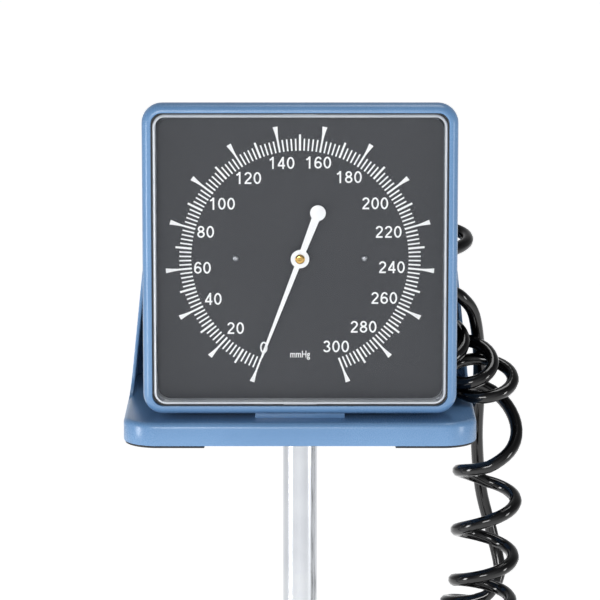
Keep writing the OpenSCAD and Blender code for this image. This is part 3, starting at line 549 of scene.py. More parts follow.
def add_node(tree, kind, inputs=(), **settings):
    """Adds one shader node, with its settings, and fills or links its inputs."""
    made = tree.nodes.new("ShaderNode" + kind)
    for name, value in settings.items():
        setattr(made, name, value)
    for name, value in dict(inputs).items():
        if isinstance(value, bpy.types.NodeSocket):
            tree.links.new(value, made.inputs[name])
        else:
            made.inputs[name].default_value = value
    return made


def new_material(name, **sockets):
    material = bpy.data.materials.new(name)
    material.use_nodes = True
    tree = material.node_tree
    shader = tree.nodes["Principled BSDF"]
    for socket, value in sockets.items():
        shader.inputs[socket.replace("_", " ")].default_value = value
    place = add_node(tree, "TexCoord").outputs["Object"]
    return material, tree, shader, place


def clouded(tree, place, light, dark, size, detail=3):
    """Colour that drifts between two hex values in patches of the given size in metres."""
    clouds = add_node(tree, "TexNoise", {"Vector": place, "Scale": 1 / size, "Detail": detail})
    ramp = add_node(tree, "ValToRGB", {"Fac": clouds.outputs["Fac"]})
    ramp.color_ramp.elements[0].position = 0.35
    ramp.color_ramp.elements[0].color = linear(dark)
    ramp.color_ramp.elements[1].position = 0.65
    ramp.color_ramp.elements[1].color = linear(light)
    return ramp.outputs["Color"]


def ranged(tree, value, low, high):
    """A pattern's 0 to 1 mapped to a range, such as a roughness."""
    return add_node(tree, "MapRange", {"Value": value, "To Min": low, "To Max": high}).outputs["Result"]


def grained(tree, shader, place, size, depth, low, high, detail=2):
    """Moulded or blasted grain: bump of the given grain size and depth, and gloss that follows it."""
    grain = add_node(tree, "TexNoise", {"Vector": place, "Scale": 1 / size, "Detail": detail})
    bump = add_node(tree, "Bump", {"Height": grain.outputs["Fac"], "Distance": depth, "Strength": 0.6})
    tree.links.new(bump.outputs["Normal"], shader.inputs["Normal"])
    tree.links.new(ranged(tree, grain.outputs["Fac"], low, high), shader.inputs["Roughness"])


def surface(name, light, dark, cloud, grain, gloss, detail=2, **sockets):
    """A real finish: two colours in clouds of a size, grain of a size and depth, both in metres, and the
    range of its roughness."""
    material, tree, shader, place = new_material(name, **sockets)
    tree.links.new(clouded(tree, place, light, dark, cloud), shader.inputs["Base Color"])
    grained(tree, shader, place, *grain, *gloss, detail)
    return material


# Materials, one for each real finish

def hazed(name, light, dark, cloud, haze_rate, gloss, stretch=(1, 1, 1), **sockets):
    """A polished finish: no grain, only haze, so many patches to the metre, that lets the gloss drift."""
    material, tree, shader, place = new_material(name, **sockets)
    tree.links.new(clouded(tree, place, light, dark, cloud), shader.inputs["Base Color"])
    stretched = add_node(tree, "Mapping", {"Vector": place, "Scale": stretch}).outputs["Vector"]
    haze = add_node(tree, "TexNoise", {"Vector": stretched, "Scale": haze_rate})
    tree.links.new(ranged(tree, haze.outputs["Fac"], *gloss), shader.inputs["Roughness"])
    return material


def clear_acrylic():
    """Polished moulded acrylic: nearly invisible face on, glossy where it turns away, and greyer there with a painted
    reflection.
    """
    material = hazed("clear_acrylic", "A9B0BA", "9EA6B1", 0.05, 60, (0.03, 0.07), IOR=1.49)
    tree = material.node_tree
    turned_away = add_node(tree, "LayerWeight", {"Blend": 0.5}).outputs["Facing"]
    # Where the acrylic turns away, more of its grey base shows: a painted reflection
    cover = add_node(tree, "MapRange", {"Value": turned_away, "From Min": 0.3, "From Max": 0.95, "To Min": 0.02,
                                        "To Max": 0.6})
    tree.links.new(cover.outputs["Result"], tree.nodes["Principled BSDF"].inputs["Alpha"])
    return material


def acrylic_edge():
    """The same acrylic at its rounded edges and walls, in a milky pale colour that is painted light: it stands in for
    the light that the edges gather.
    """
    return hazed("acrylic_edge", "E4E8EC", "D4D9E0", 0.02, 200, (0.10, 0.20), IOR=1.49, Alpha=0.75)


def metal(name, light, dark, low, high, size=0.0006, depth=0.00001):
    """A metal whose colour, grain and gloss range are given."""
    return surface(name, light, dark, 0.006, (size, depth), (low, high), Metallic=1)


def moulded_nylon(name, light, dark):
    """Glass-filled black nylon: a sparked mould leaves it dull and finely pebbled."""
    return surface(name, light, dark, 0.02, (0.0009, 0.00008), (0.42, 0.55), IOR=1.53)


def woven_nylon():
    """Coated plain-weave nylon, near black blue: threads crossing every 0.9 mm, a soft sheen and fold wear."""
    material, tree, shader, place = new_material("woven_nylon", IOR=1.5, Sheen_Weight=0.2, Sheen_Roughness=0.5)
    tree.links.new(clouded(tree, place, "23272F", "191C23", 0.02), shader.inputs["Base Color"])
    flat = add_node(tree, "UVMap").outputs["UV"]
    warp, weft = (add_node(tree, "TexWave", {"Vector": flat, "Scale": threads * math.pi / 10, "Distortion": 0},
                           bands_direction=way).outputs["Fac"]
                  for way, threads in (("X", CUFF_LENGTH / THREAD_STEP), ("Y", 2 * CUFF_WIDTH / THREAD_STEP)))
    crossing = add_node(tree, "Math", {0: warp, 1: weft}, operation="MULTIPLY").outputs["Value"]
    bump = add_node(tree, "Bump", {"Height": crossing, "Distance": 0.00015, "Strength": 0.8})
    tree.links.new(bump.outputs["Normal"], shader.inputs["Normal"])
    tree.links.new(ranged(tree, crossing, 0.62, 0.8), shader.inputs["Roughness"])
    return material


def sewing_thread():
    """Bonded polyester thread: tight twist, faintly shiny."""
    return surface("sewing_thread", "2E333E", "262A33", 0.001, (0.0003, 0.00004), (0.5, 0.65), IOR=1.53,
                   Sheen_Weight=0.2)


def loop_tape():
    """Brushed loop tape: a felt of fine loops that swallows light and catches it at the edges."""
    return surface("loop_tape", "1C1F26", "101217", 0.0012, (0.0007, 0.0003), (0.85, 0.95), 4, IOR=1.5,
                   Sheen_Weight=0.5, Sheen_Roughness=0.6)


# Camera, light and stage

def photograph_camera():
    data = bpy.data.cameras.new("photograph_camera")
    camera = bpy.data.objects.new("photograph_camera", data)
    scene.collection.objects.link(camera)
    side = PHOTO_SIDE / PIXELS_PER_METRE
    data.angle = 2 * math.atan(side / 2 / VIEW_DISTANCE)
    data.shift_x = (PHOTO_SIDE / 2 - PIVOT_PIXEL[0]) / PHOTO_SIDE
    data.shift_y = (PIVOT_PIXEL[1] - PHOTO_SIDE / 2) / PHOTO_SIDE
    data.clip_end = 60
    camera.location = PIVOT + VIEW_DISTANCE * Vector((0, -math.cos(VIEW_DOWN), math.sin(VIEW_DOWN)))
    camera.rotation_euler = (math.pi / 2 - VIEW_DOWN, 0, 0)
    scene.camera = camera


def softbox(name, place, aim, size, power):
    data = bpy.data.lights.new(name, "AREA")
    data.shape = "RECTANGLE"
    data.size, data.size_y = size
    data.energy = power
    lamp = bpy.data.objects.new(name, data)
    scene.collection.objects.link(lamp)
    lamp.location = place
    lamp.rotation_euler = (Vector(aim) - Vector(place)).to_track_quat("-Z", "Y").to_euler()


def away(tree, value, start, end, near, far):
    """Maps how far a value is from zero, either way, to a strength that falls from near to far."""
    distance = add_node(tree, "Math", {0: value}, operation="ABSOLUTE").outputs["Value"]
    return add_node(tree, "MapRange", {"Value": distance, "From Min": start, "From Max": end, "To Min": near,
                                       "To Max": far}).outputs["Result"]


def studio():
    """Side boxes, a soft front and top, and a room and a luminous floor that darken overhead and to the sides."""
    for name, place, size, power in (("left_softbox", (-1.6, -0.7, 0.75), (0.35, 0.7), 12),
                                     ("right_softbox", (1.6, -0.7, 0.85), (0.30, 0.6), 6),
                                     ("front_softbox", (-0.5, -2.6, 1.6), (1.0, 0.6), 25),
                                     ("top_softbox", (0.3, 0.3, 2.6), (0.9, 0.6), 7)):
        softbox(name, place, (0, 0, TRAY_Z + 0.05), size, power)
    world = bpy.data.worlds.new("pale_room")
    scene.world = world
    world.use_nodes = True
    tree = world.node_tree
    way = add_node(tree, "SeparateXYZ", {"Vector": add_node(tree, "TexCoord").outputs["Generated"]}).outputs
    upward = add_node(tree, "MapRange", {"Value": way["Z"], "From Min": 0, "From Max": 0.8, "To Min": 1.03,
                                         "To Max": 0.2})
    light = add_node(tree, "Math", {0: upward.outputs["Result"], 1: away(tree, way["X"], 0.35, 0.75, 1, 0.4)},
                     operation="MULTIPLY")
    tree.nodes["Background"].inputs["Color"].default_value = linear("F7F8FA")
    tree.links.new(light.outputs["Value"], tree.nodes["Background"].inputs["Strength"])
    scene.view_settings.view_transform = "Standard"
    deselect()
    bpy.ops.mesh.primitive_circle_add(vertices=96, radius=30, fill_type="NGON", location=(0, 0, -0.0005))
    floor = named("pale_floor")
    paint, tree, shader, place = new_material("pale_floor_paint", Roughness=0.7)
    tree.links.new(clouded(tree, place, "FCFCFC", "F9F9F9", 0.4), shader.inputs["Base Color"])
    shader.inputs["Emission Color"].default_value = linear("FFFFFF")
    across = add_node(tree, "SeparateXYZ", {"Vector": place}).outputs["X"]
    tree.links.new(away(tree, across, 2.5, 6, 0.76, 0.15), shader.inputs["Emission Strength"])
    floor.data.materials.append(paint)


# Hose and tubes

def spline_point(p0, p1, p2, p3, t):
    return 0.5 * (2 * p1 + (p2 - p0) * t + (2 * p0 - 5 * p1 + 4 * p2 - p3) * t * t
                  + (3 * p1 - p0 - 3 * p2 + p3) * t ** 3)


def on_route(rows, i, t):
    """Point between entries i and i + 1 of a route, on a curve through all of them."""
    p1, p2 = rows[i], rows[i + 1]
    before = rows[i - 1] if i > 0 else 2 * p1 - p2
    after = rows[i + 2] if i + 2 < len(rows) else 2 * p2 - p1
    return spline_point(before, p1, p2, after, t)


def raised(rows):
    """Route points as vectors, lifted from the tray's floor to the frame."""
    return [Vector(p) + Vector((0, 0, TRAY_Z)) for p in rows]


def smooth_line(rows, start=(), end=()):
    """Smooth line through points given in millimetres, with points of the frame before and after them."""
    places = [*start, *raised(Vector(p) / 1000 for p in rows), *end]
    line = [on_route(places, i, k / ROUTE_STEPS) for i in range(len(places) - 1) for k in range(ROUTE_STEPS)]
    return line + places[-1:]


def coil_rows():
    """The hanging coil, the half circle at its foot and the rise beside it."""
    rows = [(turn, Vector(axis) / 1000, Vector(run)) for turn, axis, run in HUNG_ROWS]
    for k in range(1, 6):
        a = math.radians(36 * k)
        rows.append((16 + k, BEND_MIDDLE - BEND_R * Vector((0, math.cos(a), math.sin(a))),
                     Vector((0, math.sin(a), -math.cos(a)))))
    for k in range(1, 5):
        rows.append((21 + k, BEND_MIDDLE + Vector((0, BEND_R, 0.012 * k + 0.001 * k * k)), Vector((0, 0, 1))))
    return rows


def coil_line(rings):
    """Centre line of the curls: a helix that runs clockwise round the route of its axis."""
    rows = coil_rows()
    axes = [row[1] for row in rows]
    runs = [row[2] for row in rows]
    line = []
    for i in range(len(rows) - 1):
        first, last = rows[i][0], rows[i + 1][0]
        steps = round((last - first) * rings)
        for k in range(steps + (i == len(rows) - 2)):
            t = k / steps
            run = on_route(runs, i, t).normalized()
            u = (Vector((1, 0, 0)) - run.x * run).normalized()
            a = math.radians(360 * (first + (last - first) * t) - 90)
            line.append(on_route(axes, i, t) + CURL_R * (math.cos(a) * u + math.sin(a) * run.cross(u)))
    return raised(line)


def hose_coupling():
    """Knurled quick coupling that joins the hose to the cuff's tubes."""
    low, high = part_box("hose_connector")
    place = Vector(((low.x + high.x) / 2, low.y, (low.z + high.z) / 2))
    profile = [(0, 0), (0, 3.2), (0.2, 3.4), (1, 3.4), (1, 4.2), (1.3, 4.4), (8.2, 4.4), (8.5, 4.2), (8.5, 3.4),
               (9.2, 3.4), (9.2, 3.8), (9.4, 4), (14.7, 4), (15, 3.8), (15, 3.4), (15.8, 3.4), (16, 3.2), (16, 0)]
    coupling = turned("hose_coupling", profile, place, (0, 1, 0))
    knurl(coupling, place, (0, 1, 0), 0.0014, 0.0081, 0.0002)
    return finish_piece(coupling, "head", "chrome_plate", "hose_connector")


def hoses():
    """The coiled hose from the gauge's back to its coupling, and the cuff's two short tubes."""
    coil = coil_line(32)
    line = smooth_line(GAUGE_LEAD, end=coil[:1]) + coil[1:] + smooth_line(CUFF_LEAD, start=coil[-1:])[1:]
    hose = round_line("coiled_hose", line, HOSE_D / 2, TUBE_SIDES)
    finish_piece(hose, "head", "hose_black", "hose_gauge_lead", "hose_coil", "hose_cuff_lead")
    hose_coupling()
    for name, node, rows in (("cuff_gauge_hose", "cuff_gauge_tube", GAUGE_TUBE),
                             ("cuff_bulb_hose", "cuff_bulb_tube", BULB_TUBE)):
        line = smooth_line(rows)
        tube = round_line(name, line, CUFF_TUBE_D / 2, TUBE_SIDES)
        finish_piece(tube, "head", "bulb_rubber", node)


# Gauge housing

def bore_on(*steps):
    """In edit mode: carries the selected face of the gauge on by steps of depth and scale about its middle."""
    for depth, factor in steps:
        extrude_on((0, depth, 0), (factor, 1, factor), GAUGE_MIDDLE)


def bezel_frame():
    """Front frame: rolled outer edge, eased window edge, a taper to the seam and a rebate for the crystal."""
    widest = BEZEL_LOW.y + EDGE_DEEP
    piece = block("bezel_frame", (BEZEL_LOW.x, widest, BEZEL_LOW.z), BEZEL_HIGH)
    round_upright_edges(piece, 1, GAUGE_CORNER, 12)
    seam = SEAM_SIDE / (BEZEL_HIGH.x - BEZEL_LOW.x)
    scale_face(piece, 1, 1, (seam, 1, seam), GAUGE_MIDDLE)
    choose_end(piece, 1, -1)
    steps = 8
    for i in range(steps):
        here, there = (math.pi / 2 * k / steps for k in (i, i + 1))
        bpy.ops.mesh.inset(thickness=EDGE_WIDE * (math.cos(here) - math.cos(there)),
                           depth=EDGE_DEEP * (math.sin(there) - math.sin(here)))
    bpy.ops.mesh.inset(thickness=BEZEL_BAND - EDGE_WIDE - WINDOW_EASE)
    for across, back in ((0.6, 0.15), (0.3, 0.35), (0.1, 0.5)):
        bpy.ops.mesh.inset(thickness=WINDOW_EASE * across, depth=-WINDOW_EASE * back)
    rebate = REBATE_SIDE / WINDOW_SIDE
    bore_on((REBATE_FRONT - BEZEL_LOW.y - WINDOW_EASE, 1), (0, rebate), (REBATE_BACK - REBATE_FRONT, 1),
            (0, 1 / rebate), (BEZEL_HIGH.y - 0.001 - REBATE_BACK, 1))
    bpy.ops.mesh.delete(type="FACE")
    done()
    choose(piece, "FACE", lambda c, n: n.y > 0.9 and c.y > BEZEL_HIGH.y - 1e-5)
    bpy.ops.mesh.delete(type="FACE")
    done()
    choose(piece, "EDGE", lambda a, b: min(a.y, b.y) > BEZEL_HIGH.y - 0.0015 and abs(a.y - b.y) < 1e-6)
    bpy.ops.mesh.bridge_edge_loops()
    done()
    outward(piece)
    smooth(piece)
    finish_piece(piece, "head", "blue_moulding", "gauge_bezel")


def rear_shell():
    """Back of the housing: tapered shell, rim rounded, with screw wells, a port hole and two keyholes."""
    rim_y = COVER_HIGH.y - COVER_RIM
    half = SEAM_SIDE / 2
    piece = block("rear_shell", (-half, COVER_LOW.y, GAUGE_MIDDLE.z - half), (half, rim_y, GAUGE_MIDDLE.z + half))
    round_upright_edges(piece, 1, GAUGE_CORNER - 0.001, 12)
    draft = RIM_SIDE / SEAM_SIDE
    scale_face(piece, 1, 1, (draft, 1, draft), GAUGE_MIDDLE)
    choose_end(piece, 1, 1)
    back = BACK_SIDE / RIM_SIDE
    bore_on((COVER_RIM, back))
    done()
    round_rim(piece, 1, COVER_HIGH.y, 0.0012, 4)
    bevel_edges(piece, lambda a, b: max(abs(a.y - rim_y), abs(b.y - rim_y)) < 1e-6, 0.0015, 4)
    choose_end(piece, 1, -1)
    bpy.ops.mesh.delete(type="FACE")
    done()
    apply_modifier(piece, "SOLIDIFY", thickness=COVER_WALL, offset=-1, use_even_offset=True)
    for x, z in CASE_CORNERS:
        boolean(piece, rod("boss", (x, COVER_LOW.y, z), (x, COVER_HIGH.y - BOSS_SHORT, z), BOSS_R), "UNION")
    through = COVER_HIGH.y + CUT_PAST
    for x, z in CASE_CORNERS:
        boolean(piece, rod("well", (x, COVER_LOW.y + COVER_WALL, z), (x, through, z), WELL_R))
    inside, z = COVER_HIGH.y - KEYHOLE_R, GAUGE_MIDDLE.z + KEYHOLE_UP
    for x in (-KEYHOLE_ASIDE, KEYHOLE_ASIDE):
        boolean(piece, rod("keyhole", (x, inside, z), (x, through, z), KEYHOLE_R))
        slot_end = (x + KEYHOLE_R / 2, through, z + KEYHOLE_LONG)
        boolean(piece, block("keyhole_slot", (x - KEYHOLE_R / 2, inside, z), slot_end))
    boolean(piece, rod("port_hole", (PORT.x, COVER_LOW.y, PORT.z), (PORT.x, through, PORT.z), PORT_HOLE_R))
    smooth(piece, 30)
    finish_piece(piece, "head", "blue_moulding", "rear_cover")


def crystal_cap():
    """Clear cap: flat front with rounded edges, thin side walls, a rear flange and two clip tabs."""
    front = CRYSTAL_LOW.y
    half = CRYSTAL_SIDE / 2
    middle = GAUGE_MIDDLE
    piece = block("crystal_cap", (-half, front, middle.z - half), (half, CRYSTAL_HIGH.y, middle.z + half))
    round_upright_edges(piece, 1, WINDOW_CORNER - 0.0007, 10)
    flange_y = CRYSTAL_HIGH.y - FLANGE_THICK
    flange = (CRYSTAL_HIGH.x - CRYSTAL_LOW.x) / CRYSTAL_SIDE
    choose_end(piece, 1, 1)
    bpy.ops.transform.translate(value=(0, flange_y - CRYSTAL_HIGH.y, 0))
    inner = (CRYSTAL_SIDE - 2 * CRYSTAL_WALL) / (CRYSTAL_HIGH.x - CRYSTAL_LOW.x)
    bore_on((0, flange), (FLANGE_THICK, 1), (0, inner), (front + CRYSTAL_FRONT - CRYSTAL_HIGH.y, 1))
    done()
    outward(piece)
    round_rim(piece, 1, front, CRYSTAL_EDGE, 7)
    tabs = [piece]
    for side in (-1, 1):
        z = middle.z + side * (half + 0.0002)
        tab = block("clip_tab", (-CLIP_TAB / 2, front + 0.0012, z - 0.0004), (CLIP_TAB / 2, flange_y, z + 0.0004))
        round_upright_edges(tab, 2, 0.0008, 3)
        tabs.append(tab)
    piece = join("crystal_cap", tabs)
    smooth(piece, 30)
    finish_piece(piece, "head", "clear_crystal", "crystal")
    # The walls and rounded edges get the acrylic whose milky pale colour is painted light
    piece.data.materials.append(acrylic_edge())
    choose(piece, "FACE", lambda c, n: abs(n.y) < 0.97 or abs(c.z - middle.z) > half - 0.0003)
    piece.active_material_index = 1
    bpy.ops.object.material_slot_assign()
    done()


# Dial: marks, numbers and the white pointer

def tick(name, radius_out, width):
    """One mark of the scale, drawn at the top of the dial."""
    return block(name, (-width / 2, DIAL_LOW.y - PRINT_THICK, PIVOT.z + TICK_INNER),
                 (width / 2, DIAL_LOW.y, PIVOT.z + radius_out))


def scale_angle(value):
    """Clockwise angle from the top of the dial at which a pressure is marked."""
    return math.radians((value / SCALE_TOP - 0.5) * SCALE_SWEEP)


def scale_print(ink):
    """Marks every 2 mmHg, longer at the tens, and longer still and flared at the twenties."""
    minor = tick("minor_mark", MINOR_OUTER, MINOR_WIDE)
    ten = tick("ten_mark", TEN_OUTER, TEN_WIDE)
    major = tick("major_mark", FLARE_FROM, MAJOR_WIDE)
    choose_end(major, 2, 1)
    for rise, widening in ((FLARE_FIRST, 1.6), (MAJOR_OUTER - FLARE_FROM - FLARE_FIRST, 1.66)):
        extrude_on((0, 0, rise), (widening, 1, 1), PIVOT)
    done()
    marks = []
    for value in range(0, SCALE_TOP + 1, 2):
        kind = major if value % 20 == 0 else ten if value % 10 == 0 else minor
        turn = Matrix.Translation(PIVOT) @ Matrix.Rotation(scale_angle(value), 4, "Y") @ Matrix.Translation(-PIVOT)
        marks.append(copy_of(kind, f"mark_{value}", turn))
    for model in (minor, ten, major):
        bpy.data.objects.remove(model)
    finish_piece(join("scale_marks", marks), "head", "pointer_white", material=ink)


def arc(x, y, rx, ry, start, end, steps=14):
    """Points along part of an ellipse, angles in degrees."""
    turns = [math.radians(start + (end - start) * i / steps) for i in range(steps + 1)]
    return [(x + rx * math.cos(a), y + ry * math.sin(a)) for a in turns]


# Strokes of the digits on a field one high and 0.65 wide
DIGIT_STROKES = {
    "0": [arc(0.325, 0.5, 0.25, 0.425, 90, 450, 28)],
    "1": [[(0.12, 0.73), (0.27, 0.81), (0.38, 0.95)], [(0.395, 1.0), (0.395, 0.0)]],
    "2": [arc(0.32, 0.70, 0.235, 0.225, 172, -28, 16) + [(0.42, 0.46), (0.20, 0.25), (0.10, 0.09)],
          [(0.03, 0.075), (0.60, 0.075)]],
    "3": [arc(0.31, 0.725, 0.21, 0.20, 165, -88, 16), arc(0.31, 0.29, 0.245, 0.215, 90, -165, 16)],
    "4": [[(0.47, 0.0), (0.47, 1.0)], [(0.46, 0.95), (0.07, 0.31)], [(0.02, 0.275), (0.64, 0.275)]],
    "6": [arc(0.33, 0.31, 0.245, 0.235, 0, 360, 24),
          arc(0.36, 0.71, 0.20, 0.215, 15, 95, 6) + arc(0.355, 0.47, 0.27, 0.455, 98, 195, 12)],
    "8": [arc(0.325, 0.735, 0.205, 0.19, 0, 360, 22), arc(0.325, 0.29, 0.245, 0.215, 0, 360, 24)],
}
DIGIT_STEP = 0.78
DIGIT_FIELD = 0.65
DIGIT_STROKE = 0.138


def digit_print(digit, left, foot):
    """One screen-printed digit, drawn as strokes of even width."""
    strokes = []
    for stroke in DIGIT_STROKES[digit]:
        closed = len(stroke) > 2 and math.dist(stroke[0], stroke[-1]) < 1e-6
        places = [(left + x * DIGIT_WIDTH, 0, foot + y * DIGIT_HEIGHT) for x, y in stroke[:-1 if closed else None]]
        round_line("stroke", places, DIGIT_STROKE * DIGIT_HEIGHT / 2, 2, closed)
        bpy.ops.object.convert(target="MESH")
        strokes.append(bpy.context.object)
    piece = join("digit_" + digit, strokes)
    piece.data.transform(Matrix.Diagonal((1, 0.1, 1, 1)))
    return piece


def dial_word(body, height, narrow, x, z):
    """Upright printed characters, centred on a place on the dial."""
    deselect()
    bpy.ops.object.text_add(location=(x, DIAL_LOW.y, z), rotation=(math.pi / 2, 0, 0))
    word = bpy.context.object
    word.data.body = body
    word.data.align_x = word.data.align_y = "CENTER"
    word.data.size = height / 0.72
    word.data.extrude = PRINT_THICK
    word.data.offset = 0.00004
    word.data.resolution_u = 6
    word.scale = (narrow, 1, 1)
    bpy.ops.object.convert(target="MESH")
    return named("word_" + body)


def dial_numbers(ink):
    """Numbers every 20 mmHg, upright, each at its own place inside the marks, and the unit."""
    digits = []
    for value, (x, z) in NUMBER_PLACES.items():
        text = str(value)
        width = ((len(text) - 1) * DIGIT_STEP + DIGIT_FIELD) * DIGIT_WIDTH
        for i, digit in enumerate(text):
            left = x / 1000 - width / 2 + i * DIGIT_STEP * DIGIT_WIDTH
            digits.append(digit_print(digit, left, z / 1000 - DIGIT_HEIGHT / 2))
    numbers = join("dial_numbers", digits)
    numbers.data.transform(Matrix.Translation((PIVOT.x, DIAL_LOW.y, PIVOT.z)))
    word = dial_word("mmHg", UNIT_HEIGHT, UNIT_NARROW, PIVOT.x, PIVOT.z - UNIT_BELOW)
    numbers = join("dial_numbers", [numbers, word])
    smooth(numbers, 30)
    finish_piece(numbers, "head", "pointer_white", material=ink)


def dial_screws():
    """Two small domed screws that hold the dial."""
    profile = [(-1, 0), (-1, 0.4), (-0.85, 1), (-0.5, 1.45), (0, 1.65), (3.9, 1.2), (3.9, 0)]
    left = turned("dial_screw", profile, (-DIAL_SCREW_ASIDE, DIAL_LOW.y, PIVOT.z), (0, 1, 0), 32)
    right = copy_of(left, "dial_screw", Matrix.Translation((2 * DIAL_SCREW_ASIDE, 0, 0)))
    finish_piece(join("dial_screw_heads", [left, right]), "head", "zinc_plated_steel", "dial_screws",
                 material=MATERIALS["cast_aluminium"])


def pointer_set():
    eased("white_pointer", "pointer", 0.00012, 2, "pointer", "pointer_white", 40)
    profile = [(0, 0), (0, 2.6), (-0.5, 2.58), (-0.9, 2.2), (-1.15, 1.5), (-1.18, 0.9), (-0.95, 0.6), (-0.9, 0)]
    cap = turned("pointer_cap_nut", profile, (PIVOT.x, CAP_HIGH.y, PIVOT.z), (0, 1, 0), 40)
    finish_piece(cap, "pointer", "polished_brass", "pointer_cap")


# Tray and pocket

def wall_place(across, up):
    """Place on the walls, across from the left front edge round the back to the right one, and up from the foot."""
    side, back = TRAY_HIGH.x - WALL_SET, TRAY_HIGH.y - WALL_SET
    height = TRAY_HIGH.z - TRAY_Z
    z = -TRAY_LIP + up * (height + TRAY_LIP)
    front = POCKET_FRONT
    if z < FLARE - TRAY_LIP:
        low = (FLARE - TRAY_LIP - z) / FLARE
        front -= FLARE_RUN * (1 - math.sqrt(max(0, 1 - low ** 2)))
    elif z > height - WALL_TOP_RADIUS:
        rise = z - (height - WALL_TOP_RADIUS)
        front += WALL_TOP_RADIUS - math.sqrt(max(0, WALL_TOP_RADIUS ** 2 - rise ** 2))
    spread = FLARE_SPREAD * max(0, 1 - (z + TRAY_LIP) / FLARE) ** 3
    inset = (z + TRAY_LIP) * math.tan(WALL_LEAN) - spread
    radius = TRAY_CORNER - WALL_SET
    x_out, y_out = side - inset, back - inset
    quarter = math.pi * radius / 2
    straight_back = x_out - radius
    hand = 2 * across - 1
    way = abs(hand) * (y_out - radius - front + quarter + straight_back)
    if way < straight_back:
        x, y = way, y_out
    elif way < straight_back + quarter:
        a = (way - straight_back) / radius
        x, y = x_out - radius + radius * math.sin(a), y_out - radius + radius * math.cos(a)
    else:
        x, y = x_out, y_out - radius - (way - straight_back - quarter)
    return x if hand > 0 else -x, y, TRAY_Z + z


def pocket_walls():
    """Leaning walls round the back of the tray: flared foot, upright front edges, rounded top corners."""
    walls = grid_piece("pocket_walls", 96, 30, wall_place)
    apply_modifier(walls, "SOLIDIFY", thickness=WALL_THICK, offset=1, use_even_offset=True)
    outward(walls)
    soften(walls, 0.0009, 3, 50)
    return walls


def cuff_tray():
    """Moulded tray: rounded lip, hollow underside with ribs, and the pocket's walls."""
    slab = block("tray_slab", TRAY_LOW, (TRAY_HIGH.x, TRAY_HIGH.y, TRAY_Z))
    round_upright_edges(slab, 2, TRAY_CORNER, 16)
    round_rim(slab, 2, TRAY_Z, TRAY_LIP, 6)
    choose_end(slab, 2, -1)
    bpy.ops.mesh.inset(thickness=SKIRT_THICK)
    extrude_on((0, 0, TRAY_SKIRT - FLOOR_THICK))
    done()
    round_rim(slab, 2, TRAY_LOW.z, 0.0006, 2)
    boolean(slab, rod("access_hole", (0, 0, TRAY_Z - 0.006), (0, 0, TRAY_Z + 0.002), ACCESS_R))
    smooth(slab)
    low, high = TRAY_LOW + RIB_SHORT, TRAY_HIGH - RIB_SHORT
    outlines = [((x - RIB_HALF, low.y), (x + RIB_HALF, high.y)) for x in RIBS_ACROSS]
    outlines += [((low.x, y - RIB_HALF), (high.x, y + RIB_HALF)) for y in RIBS_ALONG]
    ribs = [block("rib", (*start, TRAY_Z - RIB_LOW), (*end, TRAY_Z - RIB_TOP)) for start, end in outlines]
    seats = softened("pad_seat", "tray_pads", 0.0002)
    seats.data.transform(Matrix.Translation((0, 0, SEAT_ABOVE_PAD)))
    tray = join("cuff_tray_moulding", [slab, pocket_walls(), *ribs, seats])
    finish_piece(tray, "head", "blue_moulding", "cuff_tray")


# Column

def column_tube(name, node, wall, foot_edge, top_edge):
    """Tube of a CAD node's size. Its wall and the breaks of its two ends are in millimetres."""
    low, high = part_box(node)
    radius, length = (high.x - low.x) * 500, (high.z - low.z) * 1000
    profile = [(0, radius - wall), (0, radius - foot_edge), (foot_edge, radius), (length - top_edge, radius),
               (length, radius - top_edge), (length, radius - wall), (0, radius - wall)]
    return turned(name, profile, (0, 0, low.z), (0, 0, 1), 96)


def column():
    """Chromed tubes, lathe-smooth, with broken edges at their ends, and the collar that grips them."""
    inner = column_tube("inner_column_tube", "inner_column", 1.2, 0.3, 0.3)
    finish_piece(inner, "mast", "chrome_plate", "inner_column")
    outer = column_tube("outer_column_tube", "outer_column", 1.5, 0.4, 0.5)
    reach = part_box("outer_column")[0].x - 0.002
    boolean(outer, rod("clamp_hole", (reach, 0, CLAMP.z), (0, 0, CLAMP.z), 0.005))
    smooth(outer, 32)
    finish_piece(outer, "base", "chrome_plate", "outer_column")
    eased("height_collar_moulding", "height_collar", 0.0006, 2, "base", "black_nylon")


def clamp_hand_knob():
    """Five-lobed knob with rolled edges and a plated screw end let into its face."""
    eased("clamp_hand_knob", "clamp_knob", 0.0016, 4, "clamp", "black_nylon", 40)
    face = Vector((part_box("clamp_knob")[0].x + 0.0001, 0, CLAMP.z))
    end = turned("clamp_screw_end", [(0, 0), (0, 3.4), (0.5, 4), (1.4, 4), (1.4, 0)], face, (1, 0, 0), 32)
    finish_piece(end, "clamp", "zinc_plated_steel")


# Base and castors

def leg_height(r):
    return LEG_TOP + LEG_RISE * (1 - (r - LEG_INNER) / LEG_BEND) ** 2


